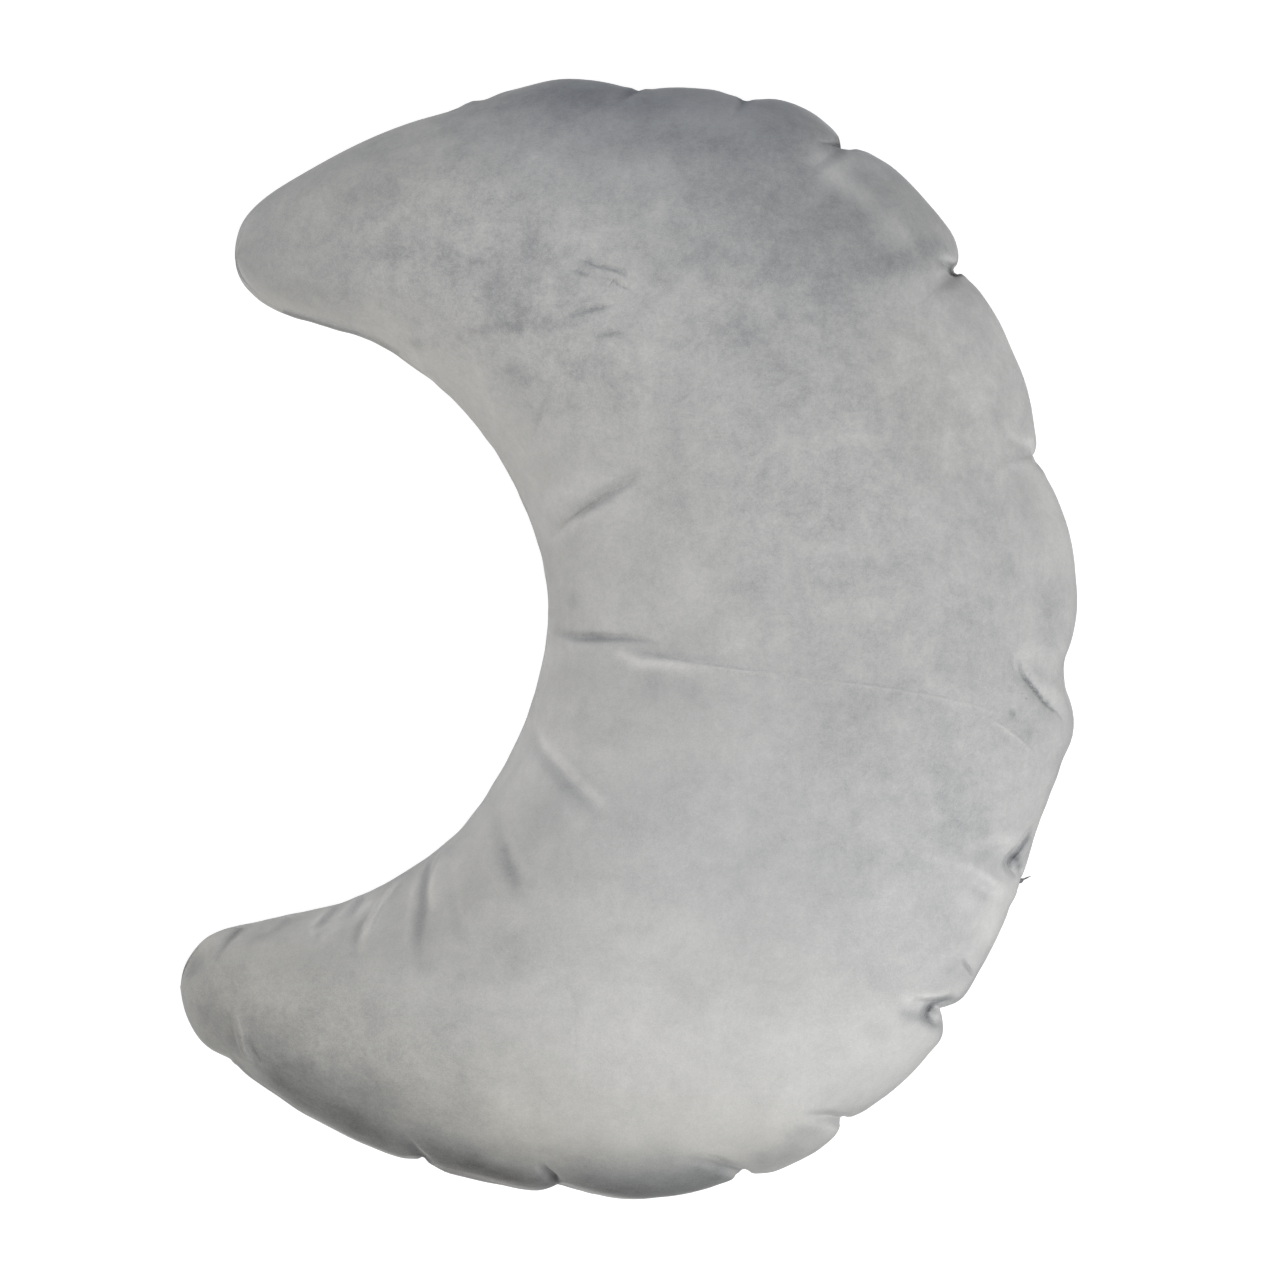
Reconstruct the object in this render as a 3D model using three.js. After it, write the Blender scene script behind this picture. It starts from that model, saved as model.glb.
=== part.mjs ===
import * as THREE from "three";

// Crescent travel pillow: two velvet panels of one crescent outline, sewn together round the edge and filled.
// Millimetres. The pillow lies on its back: X runs to the right of its face, Y up the face and Z out of it.
// The horns point to -X. The origin is on the surface it lies on, under the middle of its outline.

// Driving dimensions
const bodyWidth = 213; // across the crescent at its fattest, from seam to seam
const narrowThickness = 0.86; // thickness for each millimetre of width where the crescent is narrow
const thicknessLoss = 0.31; // how much of that ratio is lost by the time the crescent is at its fattest
const faceShare = 0.58; // part of the thickness that stands above the seam
const backShare = 0.42; // part of the thickness that stands below it
const backSag = 1.12; // how much deeper the back would hang if the surface did not press it flat
const creaseFade = 1.5; // power at which a crease runs out towards its end
const backCrease = 0.6; // depth of a crease on the back, as a share of its depth on the face
const slimWidth = 30; // half width under which the seam and the creases get slighter
const tipSupport = 50; // width that the height of the seam is worked out from at the tip of a horn
const sectionFullness = 2.4; // power of the section's outline: 2 is an ellipse, more is squarer
const seamDraw = 2.4; // how far the seam is drawn in below the cloth on either side of it
const seamReach = 5; // height above and below the seam over which it is drawn in
const clothStandOut = 0.6; // how far the cloth on either side of the seam stands out past the drawn edge
const lobeReach = 28; // length of edge over which the lobes even out to the crescent they lie on
const lobeDepth = 5; // power at which a lobe fades across the pillow, from the outer seam inwards
const velvetGrey = 0xb0b2b3;

// Faceting
const sectionSteps = 46; // points round one section
const seamCrowding = 0.7; // 0 spreads them evenly, towards 1 gathers them at the two seams
const lobeStep = 11; // length of outer edge for one section, about
const fewestSteps = 5;
const mostSteps = 8;
const upperTipSteps = 13;
const lowerTipSteps = 8;
const tipCrowding = 1.6; // power that gathers the sections at the tip of a horn
const tipFreedom = 0.35; // reach of the evening out, as a share of the distance to the nearer tip
const railSamples = 600;
const innerLead = 0.045; // how far the sections run ahead on the inner edge near the horns

// The smooth edge: the back of the upper horn, its tip, the inner bay, the lower tip and the back of that horn.
const smoothEdge = [
  { x: -63.5, y: 215 },
  { x: -96, y: 203.5 },
  { x: -127.5, y: 188.5 },
  { x: -147, y: 175 },
  { x: -156, y: 166 },
  { x: -158.5, y: 154, tip: "upper" },
  { x: -154, y: 142.5 },
  { x: -142, y: 132.5 },
  { x: -123, y: 126 },
  { x: -104, y: 121 },
  { x: -87, y: 111 },
  { x: -67, y: 93.5 },
  { x: -45.5, y: 63 },
  { x: -34.5, y: 31.5 },
  { x: -33, y: 7.5 },
  { x: -39, y: -26 },
  { x: -51, y: -53 },
  { x: -67, y: -76 },
  { x: -89.5, y: -93 },
  { x: -114, y: -104.5 },
  { x: -146.5, y: -112.5 },
  { x: -168, y: -119 },
  { x: -177.5, y: -130 },
  { x: -179.5, y: -140, tip: "lower" },
  { x: -176, y: -151.5 },
  { x: -169, y: -161 },
  { x: -158, y: -169.5 },
];

// The gathered edge, clockwise from the upper horn. x and y are where a pucker draws the seam in. The lobe after it
// swells out from the straight line to the next pucker, furthest at peak, with shoulders as square as rise and fall.
const puckers = [
  { x: -63.5, y: 215, swell: 7, peak: 0.54, rise: 1.5, fall: 1.8 },
  { x: 4, y: 221, swell: 3, peak: 0.65, rise: 2.4, fall: 2 },
  { x: 47, y: 217, swell: 7, peak: 0.53, rise: 2.6, fall: 1.8 },
  { x: 86.5, y: 197.5, swell: 10, peak: 0.48, rise: 2.4, fall: 5 },
  { x: 131.5, y: 148, swell: 8.5, peak: 0.53, rise: 2.6, fall: 2.2 },
  { x: 163, y: 73, swell: 10.5, peak: 0.51, rise: 2, fall: 2.6 },
  { x: 173.5, y: -13, swell: 5.5, peak: 0.55, rise: 2.2, fall: 1.2 },
  { x: 171, y: -57.5, swell: -0.5, peak: 0.5, rise: 2, fall: 2 },
  { x: 156.5, y: -98.5, swell: 6, peak: 0.7, rise: 1.7, fall: 2.5 },
  { x: 125.5, y: -148, swell: 8.5, peak: 0.3, rise: 4, fall: 2.6 },
  { x: 85.5, y: -192, swell: 7.5, peak: 0.47, rise: 3.2, fall: 2.7 },
  { x: 46.5, y: -214.5, swell: 8.5, peak: 0.6, rise: 2.8, fall: 1.5 },
  { x: -27.5, y: -218.5, swell: 5, peak: 0.3, rise: 3, fall: 3 },
  { x: -82, y: -208.5, swell: 6.5, peak: 0.55, rise: 4, fall: 1.6 },
  { x: -158, y: -169.5 },
];

// Creases: from a pucker or the bay, where each is deepest, to the point inside the panel where it ends. A negative
// depth is a ridge.
const creases = [
  { name: "bay, upper", x: -32, y: 43, toX: 8, toY: 68, depth: 4, width: 9 },
  { name: "bay, middle", x: -33, y: 2, toX: 26, toY: -4, depth: 4, width: 6 },
  { name: "bay, ridge", x: -20, y: -8, toX: 42, toY: -14, depth: -2, width: 7 },
  { name: "bay, lower", x: -37, y: -40, toX: -4, toY: -74, depth: 3, width: 8 },
  { name: "lower horn, first", x: -54, y: -62, toX: -36, toY: -104, depth: 4, width: 8 },
  { name: "lower horn, second", x: -75, y: -85, toX: -84, toY: -124, depth: 5, width: 8 },
  { name: "lower horn, third", x: -92, y: -95, toX: -109, toY: -128, depth: 3.5, width: 8 },
  { name: "lower tip", x: -146, y: -113, toX: -164, toY: -131, depth: 3, width: 7 },
  { name: "upper horn, first", x: 2, y: 143, toX: -38, toY: 156, depth: 2.5, width: 8 },
  { name: "upper horn, second", x: 0, y: 133, toX: -60, toY: 120, depth: 2.5, width: 8 },
  { name: "pucker 2", x: 4, y: 221, toX: 0, toY: 196, depth: 3, width: 7 },
  { name: "pucker 3", x: 47, y: 217, toX: 41, toY: 194, depth: 3, width: 7 },
  { name: "pucker 4", x: 86.5, y: 197.5, toX: 72, toY: 176, depth: 5, width: 8 },
  { name: "pucker 5", x: 131.5, y: 148, toX: 108, toY: 142, depth: 6, width: 8 },
  { name: "pucker 6", x: 163, y: 73, toX: 140, toY: 68, depth: 4, width: 8 },
  { name: "pucker 7", x: 174, y: -13, toX: 150, toY: -2, depth: 4, width: 7 },
  { name: "pucker 9", x: 157, y: -98.5, toX: 120, toY: -84, depth: 4, width: 9 },
  { name: "pucker 10", x: 125.5, y: -148, toX: 103, toY: -143, depth: 7, width: 8 },
  { name: "pucker 11", x: 85.5, y: -192, toX: 60, toY: -184, depth: 5, width: 8 },
  { name: "pucker 12", x: 46.5, y: -214.5, toX: 36, toY: -190, depth: 4, width: 8 },
  { name: "pucker 13", x: -27.5, y: -218.5, toX: -35, toY: -178, depth: 4.5, width: 7 },
  { name: "pucker 14", x: -82, y: -208.5, toX: -80, toY: -184, depth: 3, width: 7 },
];

const smoothCurve = new THREE.CatmullRomCurve3(smoothEdge.map(({ x, y }) => new THREE.Vector3(x, y, 0)));
const lastKnot = smoothEdge.length - 1;
const upperTip = smoothEdge.findIndex(({ tip }) => tip === "upper");
const lowerTip = smoothEdge.findIndex(({ tip }) => tip === "lower");

// A point of the smooth edge at a knot number, which may lie between two knots.
function onSmoothEdge(knot) {
  return smoothCurve.getPoint(knot / lastKnot);
}

// How far a lobe stands out from its chord at a fraction t of the chord.
function lobeSwell({ swell, peak, rise, fall }, t) {
  const before = t < peak;
  const fromPeak = before ? (peak - t) / peak : (t - peak) / (1 - peak);
  return swell * (1 - fromPeak ** (before ? rise : fall));
}

// The points of one lobe, from its pucker up to but not including the next one, closer together near the puckers.
function lobePoints(lobe, next) {
  const from = new THREE.Vector3(lobe.x, lobe.y, 0);
  const chord = new THREE.Vector3(next.x, next.y, 0).sub(from);
  const outwards = new THREE.Vector3(-chord.y, chord.x, 0).normalize();
  const steps = THREE.MathUtils.clamp(Math.round(chord.length() / lobeStep), fewestSteps, mostSteps);
  return Array.from({ length: steps }, (_, i) => {
    const t = (1 - Math.cos((Math.PI * i) / steps)) / 2;
    return from.clone().addScaledVector(chord, t).addScaledVector(outwards, lobeSwell(lobe, t));
  });
}

// The outer edge from the upper tip to the lower tip, one point for each section.
function outerEdge() {
  const upperHorn = Array.from({ length: upperTipSteps }, (_, i) =>
    onSmoothEdge(upperTip * (1 - (i / upperTipSteps) ** tipCrowding)),
  );
  const lobes = puckers.slice(0, -1).flatMap((lobe, i) => lobePoints(lobe, puckers[i + 1]));
  const lowerHorn = Array.from({ length: lowerTipSteps + 1 }, (_, i) =>
    onSmoothEdge(lowerTip + (lastKnot - lowerTip) * (1 - i / lowerTipSteps) ** tipCrowding),
  );
  return [...upperHorn, ...lobes, ...lowerHorn];
}

// The length of a path up to each of its points.
function pathLengths(points) {
  const lengths = [0];
  for (let i = 1; i < points.length; i++) {
    lengths.push(lengths[i - 1] + points[i].distanceTo(points[i - 1]));
  }
  return lengths;
}

// The share of a path's length that is behind each of its points.
function shares(points) {
  const lengths = pathLengths(points);
  return lengths.map((length) => length / lengths.at(-1));
}

// The inner edge from the upper tip to the lower tip, as points with their shares of its length.
const innerRail = Array.from({ length: railSamples + 1 }, (_, i) =>
  onSmoothEdge(upperTip + ((lowerTip - upperTip) * i) / railSamples),
);
const innerShares = shares(innerRail);

// The point of the inner edge at a share of its length.
function innerPoint(share) {
  const after = Math.max(1, innerShares.findIndex((s) => s >= share));
  const part = (share - innerShares[after - 1]) / (innerShares[after] - innerShares[after - 1]);
  return innerRail[after - 1].clone().lerp(innerRail[after], part);
}

// The outer edge without its lobes: each point is the mean of its stretch of edge, a shorter one near the tips.
function evened(points) {
  const distances = pathLengths(points);
  const length = distances.at(-1);
  return points.map((point, i) => {
    const reach = Math.min(lobeReach, tipFreedom * Math.min(distances[i], length - distances[i]));
    if (reach === 0) return point;
    const mean = new THREE.Vector3();
    let total = 0;
    for (let j = 1; j < points.length; j++) {
      const between = (distances[j] + distances[j - 1]) / 2 - distances[i];
      const weight = (distances[j] - distances[j - 1]) * Math.exp(-((between / reach) ** 2));
      mean.addScaledVector(points[j], weight / 2).addScaledVector(points[j - 1], weight / 2);
      total += weight;
    }
    return mean.divideScalar(total);
  });
}

// Thickness of the filled pillow where it is this wide.
function thicknessAt(width) {
  return width * (narrowThickness - (thicknessLoss * width) / bodyWidth);
}

// The depth of all the creases together at a point of the outline.
function creaseDepth(x, y) {
  return creases.reduce((total, { x: x0, y: y0, toX, toY, depth, width }) => {
    const run = (toX - x0) ** 2 + (toY - y0) ** 2;
    const t = ((x - x0) * (toX - x0) + (y - y0) * (toY - y0)) / run;
    const along = THREE.MathUtils.clamp(t, 0, 1);
    const off = Math.hypot(x - x0 - along * (toX - x0), y - y0 - along * (toY - y0));
    const fade = Math.cos((Math.PI / 2) * along) ** creaseFade;
    return total + depth * fade * Math.exp(-((off / width) ** 2));
  }, 0);
}

// One point of a section. The turn runs from the outer seam over the face to the inner seam and back underneath.
function sectionPoint({ outer, plain, inner, seamHeight, rise, drop }, turn) {
  const even = 2 * Math.PI * turn;
  const angle = even - (seamCrowding / 2) * Math.sin(2 * even);
  const power = 2 / sectionFullness;
  const across = Math.sign(Math.cos(angle)) * Math.abs(Math.cos(angle)) ** power;
  const up = Math.sign(Math.sin(angle)) * Math.abs(Math.sin(angle)) ** power;
  const halfWidth = plain.distanceTo(inner) / 2;
  const height = up * (up > 0 ? rise : drop);
  const fit = Math.min(1, halfWidth / slimWidth);
  const standing = fit * (clothStandOut - seamDraw * Math.exp(-((height / seamReach) ** 2)));
  const share = (1 + across * (1 + standing / halfWidth)) / 2;
  const point = inner.clone().lerp(plain, share);
  point.addScaledVector(outer.clone().sub(plain), Math.abs(share) ** lobeDepth);
  const sunk = creaseDepth(point.x, point.y) * Math.sqrt(Math.abs(up)) * fit;
  const fold = up > 0 ? -sunk : backCrease * sunk;
  return point.setZ(Math.max(0, seamHeight + height + fold));
}

// The sections from tip to tip, without the two tips, where both edges meet.
function sections() {
  const edge = outerEdge();
  const edgeShares = shares(edge);
  const plainEdge = evened(edge).slice(1, -1);
  return edge.slice(1, -1).map((outer, i) => {
    const plain = plainEdge[i];
    const share = edgeShares[i + 1];
    const inner = innerPoint(share + innerLead * Math.sin(2 * Math.PI * share));
    const width = plain.distanceTo(inner);
    const thickness = thicknessAt(width);
    return {
      outer,
      plain,
      inner,
      seamHeight: backShare * thicknessAt(Math.hypot(width, tipSupport)),
      rise: faceShare * thickness,
      drop: backShare * backSag * thickness,
    };
  });
}

// The filled pillow: a skin over the sections, closed to a point at each tip.
function pillowGeometry() {
  const rings = sections();
  const tipHeight = backShare * thicknessAt(tipSupport);
  const points = rings.flatMap((ring) =>
    Array.from({ length: sectionSteps }, (_, i) => sectionPoint(ring, i / sectionSteps)),
  );
  points.push(onSmoothEdge(upperTip).setZ(tipHeight), onSmoothEdge(lowerTip).setZ(tipHeight));
  const upperEnd = points.length - 2;
  const lowerEnd = points.length - 1;
  const lastRing = (rings.length - 1) * sectionSteps;
  const faces = [];
  for (let i = 0; i < sectionSteps; i++) {
    const next = (i + 1) % sectionSteps;
    faces.push(upperEnd, next, i);
    for (let ring = 0; ring < lastRing; ring += sectionSteps) {
      const below = ring + sectionSteps;
      faces.push(ring + i, ring + next, below + i, ring + next, below + next, below + i);
    }
    faces.push(lowerEnd, lastRing + i, lastRing + next);
  }
  const geometry = new THREE.BufferGeometry().setFromPoints(points).setIndex(faces);
  geometry.computeBoundingBox();
  const middle = geometry.boundingBox.getCenter(new THREE.Vector3());
  geometry.translate(-middle.x, -middle.y, 0);
  geometry.computeVertexNormals();
  return geometry;
}

const velvet = new THREE.MeshStandardMaterial({ color: velvetGrey, roughness: 0.9, metalness: 0 });

const pillow = new THREE.Mesh(pillowGeometry(), velvet);
pillow.name = "pillow";

const crescentPillow = new THREE.Group();
crescentPillow.add(pillow);

export default crescentPillow;
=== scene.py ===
# %% [markdown]
# # A crescent pillow in grey velvet
# The real pillow is two crescents of short-pile velvet, sewn together round the edge, turned and filled.
# The seam is gathered along the outer curve, so it draws the cloth in at 14 puckers, and it is smooth in
# the bay for the neck. The lesson builds it in the order a maker thinks of it: the edge, the filled shape,
# the cloth, the folds, the pile.

# %% Load the frame
import math

import bpy
import numpy as np
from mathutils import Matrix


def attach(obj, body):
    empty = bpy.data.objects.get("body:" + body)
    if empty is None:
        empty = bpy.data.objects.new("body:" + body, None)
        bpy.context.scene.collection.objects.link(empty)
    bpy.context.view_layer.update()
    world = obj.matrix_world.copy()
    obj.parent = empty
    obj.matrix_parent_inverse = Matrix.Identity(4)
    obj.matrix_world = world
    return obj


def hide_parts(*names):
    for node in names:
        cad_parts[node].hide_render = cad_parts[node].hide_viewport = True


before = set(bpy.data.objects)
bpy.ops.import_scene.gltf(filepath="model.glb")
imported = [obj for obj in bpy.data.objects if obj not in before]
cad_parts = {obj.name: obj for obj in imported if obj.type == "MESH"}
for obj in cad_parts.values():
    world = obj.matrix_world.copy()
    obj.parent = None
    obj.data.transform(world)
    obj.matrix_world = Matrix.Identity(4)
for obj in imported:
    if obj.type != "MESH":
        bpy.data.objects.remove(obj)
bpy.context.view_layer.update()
MM = 0.001
chance = np.random.default_rng(7)

# %% [markdown]
# ## Camera
# The pillow lies on its back and is seen from straight above, so the camera looks down and +Y is up in the
# picture. A long lens from well above keeps the crown from hiding the edge. The scale is worked out from
# the height of the seam, because the outline that the eye sees is the seam.

# %% Camera
SEAM_HEIGHT = 49.0
VIEW_WIDTH = 515.0
LENS = 200.0
SENSOR = 36.0
VIEW_CENTRE = (5.2, -1.0)

camera_data = bpy.data.cameras.new("camera")
camera_data.lens = LENS
camera_data.sensor_width = SENSOR
camera_data.clip_start = 0.05
camera = bpy.data.objects.new("camera", camera_data)
camera_height = SEAM_HEIGHT + VIEW_WIDTH * LENS / SENSOR
camera.location = (VIEW_CENTRE[0] * MM, VIEW_CENTRE[1] * MM, camera_height * MM)
bpy.context.scene.collection.objects.link(camera)
bpy.context.scene.camera = camera
print("camera height (mm):", round(camera_height))

# %% [markdown]
# ## The two edges
# The seam is one closed line. Half of it is smooth: the horns and the bay. The other half is gathered:
# between two puckers the cloth swells out in a lobe. The smooth part is a curve through a few points, and
# each lobe is a swelling on the straight line between its puckers. All places in the tables are
# millimetres, as seen from above.

# %% The smooth edge: upper horn, its tip, the bay, the lower tip and the back of that horn
SMOOTH_EDGE = np.array([
    (-63.5, 216), (-97.2, 205.7), (-128.8, 190.5), (-149.6, 177.4), (-157.8, 167.3),
    (-159.7, 155),
    (-155.5, 143), (-143.7, 133.1), (-123.7, 126.2), (-105, 119.8), (-88, 109.5), (-68, 92), (-47, 62),
    (-35.5, 31.5),
    (-33.5, 7.5), (-40.2, -26), (-52.2, -52.2), (-68, -75.2), (-90, -92.6), (-114, -104.5), (-147, -112.9),
    (-169.2, -119.5), (-179, -130),
    (-181.8, -141),
    (-179.4, -152.5), (-173, -163.4), (-167, -168), (-160.5, -171.2),
])
UPPER_TIP = 5
LOWER_TIP = 23
LAST_KNOT = len(SMOOTH_EDGE) - 1


def curve_through(knots, at):
    """Points of a smooth curve through the knots, at knot numbers that may lie between two knots."""
    knots = np.asarray(knots, float)
    padded = np.vstack([2 * knots[0] - knots[1], knots, 2 * knots[-1] - knots[-2]])
    at = np.asarray(at, float)
    first = np.clip(np.floor(at).astype(int), 0, len(knots) - 2)
    t = (at - first)[:, None]
    p0, p1, p2, p3 = (padded[first + k] for k in range(4))
    gaps = [np.sqrt(np.linalg.norm(b - a, axis=1))[:, None] for a, b in ((p0, p1), (p1, p2), (p2, p3))]
    g0, g1, g2 = gaps
    leave = ((p1 - p0) / g0 - (p2 - p0) / (g0 + g1) + (p2 - p1) / g1) * g1
    arrive = ((p2 - p1) / g1 - (p3 - p1) / (g1 + g2) + (p3 - p2) / g2) * g1
    square = 3 * (p2 - p1) - 2 * leave - arrive
    cube = 2 * (p1 - p2) + leave + arrive
    return p1 + leave * t + square * t**2 + cube * t**3


def lengths_along(points):
    """The length of a path up to each of its points."""
    steps = np.linalg.norm(np.diff(points, axis=0), axis=1)
    return np.concatenate([[0.0], np.cumsum(steps)])


# %% The gathered edge: where each pucker draws the seam in, and how the lobe after it swells out
# x, y, how far the lobe swells, where along it (0 to 1), how bluntly it rises and falls
PUCKERS = [
    (-63.5, 216, 7, 0.54, 1.5, 1.8),
    (4, 221, 3, 0.65, 2.4, 2),
    (47, 217, 7, 0.53, 2.6, 1.8),
    (87.7, 197.3, 9, 0.46, 2.6, 5),
    (132.3, 148.8, 8, 0.53, 2.6, 2.2),
    (163, 73, 11.2, 0.51, 2, 2.6),
    (173.2, -13.5, 7.2, 0.55, 2.2, 1.2),
    (172, -57.5, -0.2, 0.75, 2, 2),
    (156.5, -98.5, 6.4, 0.72, 1.9, 3.4),
    (124.8, -148.2, 9, 0.26, 4.4, 2.1),
    (86.3, -193.2, 5.8, 0.47, 3.2, 2.7),
    (46.8, -214.7, 8, 0.6, 2.3, 1.5),
    (-28, -219.4, 5, 0.3, 3, 3),
    (-82.3, -209.8, 6, 0.55, 4, 1.6),
    (-160.5, -171.2, 0, 0.5, 2, 2),
]
RING_STEP = 3.9
PUCKER_CROWDING = 0.72
TIP_CROWDING = 1.6
UPPER_HORN_RINGS = 30
LOWER_HORN_RINGS = 16


def lobe_points(lobe, after):
    """The points of one lobe up to but not including the next pucker, crowded at the puckers."""
    x, y, swell, peak, rise, fall = lobe
    start = np.array([x, y], float)
    chord = np.array(after[:2], float) - start
    length = np.linalg.norm(chord)
    steps = round(length / RING_STEP)
    even = np.arange(steps) / steps
    t = even - PUCKER_CROWDING * np.sin(2 * np.pi * even) / (2 * np.pi)
    from_peak = np.where(t < peak, (peak - t) / peak, (t - peak) / (1 - peak))
    height = swell * (1 - from_peak ** np.where(t < peak, rise, fall))
    outwards = np.array([-chord[1], chord[0]]) / length
    return start + t[:, None] * chord + height[:, None] * outwards


tip_to_back = 1 - (np.arange(UPPER_HORN_RINGS) / UPPER_HORN_RINGS) ** TIP_CROWDING
upper_horn = curve_through(SMOOTH_EDGE, UPPER_TIP * tip_to_back)
lobes = [lobe_points(lobe, after) for lobe, after in zip(PUCKERS, PUCKERS[1:])]
back_to_tip = (1 - np.arange(LOWER_HORN_RINGS + 1) / LOWER_HORN_RINGS) ** TIP_CROWDING
lower_horn = curve_through(SMOOTH_EDGE, LOWER_TIP + (LAST_KNOT - LOWER_TIP) * back_to_tip)
outer_edge = np.vstack([upper_horn, *lobes, lower_horn])

# Some puckers are hardly drawn in, so the edge bends there without a corner: x, y, reach
SOFT_PUCKERS = [(4, 221, 7), (47, 217, 7), (173.2, -13.5, 9), (172, -57.5, 12)]
SOFTENING_ROUNDS = 14
rounder_edge = outer_edge
for _ in range(SOFTENING_ROUNDS):
    middle = (rounder_edge[:-2] + 2 * rounder_edge[1:-1] + rounder_edge[2:]) / 4
    rounder_edge = np.vstack([rounder_edge[:1], middle, rounder_edge[-1:]])
softness = np.zeros((len(outer_edge), 1))
for x, y, reach in SOFT_PUCKERS:
    softness += np.exp(-((np.linalg.norm(outer_edge - (x, y), axis=1, keepdims=True) / reach) ** 2))
outer_edge = outer_edge + softness * (rounder_edge - outer_edge)
outer_length = lengths_along(outer_edge)
print("outer edge (mm):", round(outer_length[-1]), "in", len(outer_edge), "points")

# %% The bay side of the seam, matched to the outer side ring by ring
INNER_SAMPLES = 600
INNER_LEAD = 0.045
LOBE_REACH = 28.0
HORN_BLEND = 25.0
HORN_SLOPE = 0.7

bay = curve_through(SMOOTH_EDGE, np.linspace(UPPER_TIP, LOWER_TIP, INNER_SAMPLES + 1))
bay_length = lengths_along(bay)
outer_share = outer_length / outer_length[-1]
bay_share = outer_share + INNER_LEAD * np.sin(2 * np.pi * outer_share)
inner_edge = np.column_stack([np.interp(bay_share * bay_length[-1], bay_length, bay[:, k]) for k in (0, 1)])


def evened(points, along):
    """The path without its lobes: each point becomes the mean of its stretch. The horns stay."""
    first, last = along[UPPER_HORN_RINGS], along[-1 - LOWER_HORN_RINGS]
    inside = np.minimum(along - first, last - along) + HORN_BLEND
    reach = (HORN_SLOPE * inside).clip(1e-6, LOBE_REACH)[:, None]
    middles = (points[1:] + points[:-1]) / 2
    offsets = (along[1:] + along[:-1]) / 2 - along[:, None]
    weights = np.diff(along) * np.exp(-((offsets / reach) ** 2))
    total = weights.sum(axis=1, keepdims=True)
    return np.where(inside[:, None] > HORN_SLOPE, weights @ middles / np.maximum(total, 1e-9), points)


# The cloth bulges past the seam once it is filled, so both edges start a little further in.
SEAM_INSET = 1.0
SLIMMEST = 40.0
across_panel = inner_edge - outer_edge
panel_width = np.linalg.norm(across_panel, axis=1, keepdims=True)
inset = across_panel * SEAM_INSET / np.maximum(panel_width, SLIMMEST)
outer_edge, inner_edge = outer_edge + inset, inner_edge - inset
plain_edge = evened(outer_edge, outer_length)

# How much the stitching wrinkles each ring: most at a hard pucker, little between two, none on the horns.
HORN_FADE = 15.0
PUCKER_REACH = 14.0
BETWEEN_PUCKERS = 0.2
ring_of_pucker = UPPER_HORN_RINGS + np.cumsum([0] + [len(lobe) for lobe in lobes])
soft_places = [soft[:2] for soft in SOFT_PUCKERS]
hard_rings = [ring for ring, pucker in zip(ring_of_pucker, PUCKERS) if pucker[:2] not in soft_places]
way_to_pucker = np.abs(outer_length[:, None] - outer_length[hard_rings]).min(axis=1)
first_pucker, last_pucker = outer_length[ring_of_pucker[[0, -1]]]
off_horns = np.minimum(outer_length - first_pucker, last_pucker - outer_length)
gathered = BETWEEN_PUCKERS + (1 - BETWEEN_PUCKERS) * np.exp(-((way_to_pucker / PUCKER_REACH) ** 2))
gathered *= (off_horns / HORN_FADE + 1).clip(0, 1)
print("bay side (mm):", round(bay_length[-1]))

# %% [markdown]
# ## The filled shape
# Cut the pillow across anywhere and the section is a fat oval, a little squarer than an ellipse. The face
# stands higher over the seam than the back hangs under it, and the surface it lies on presses the back
# flat. Each ring of points runs from the outer seam over the face to the bay and back underneath. A ring of
# its own for every few millimetres of seam keeps the puckers sharp, which remeshing would blur.

# %% Rings
BODY_WIDTH = 213.0
NARROW_THICKNESS = 0.86
THICKNESS_LOSS = 0.31
FACE_SHARE = 0.58
BACK_SHARE = 0.42
BACK_SAG = 1.12
SECTION_FULLNESS = 2.4
TIP_SUPPORT = 50.0
LOBE_DEPTH = 18
FACE_STEPS = 46
BACK_STEPS = 34
RING_POINTS = FACE_STEPS + BACK_STEPS
SEAM_CROWDING = 0.7
SLACK_BEFORE = 0.93  # height of the cover before the filling puffs it up
MOST_ROLL = 0.9  # of the way up to the crown
ROLL_SPREAD = 0.8  # how far round the section a roll is felt, in radians

# Where the seam rolls up onto the face: x, y, reach along the seam, how far it rolls up
OUTER_ROLLS = [(152.5, -88.0, 9.0, 20.0)]
BAY_ROLLS = [(-120.0, 126.0, 28.0, 7.0)]


def thickness_at(width):
    return width * (NARROW_THICKNESS - THICKNESS_LOSS * width / BODY_WIDTH)


def roll_along(edge, rolls):
    """How far the seam is rolled up onto the face at each point of an edge."""
    total = np.zeros(len(edge))
    for x, y, reach, height in rolls:
        total += height * np.exp(-(np.linalg.norm(edge - (x, y), axis=1) / reach) ** 2)
    return total


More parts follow.
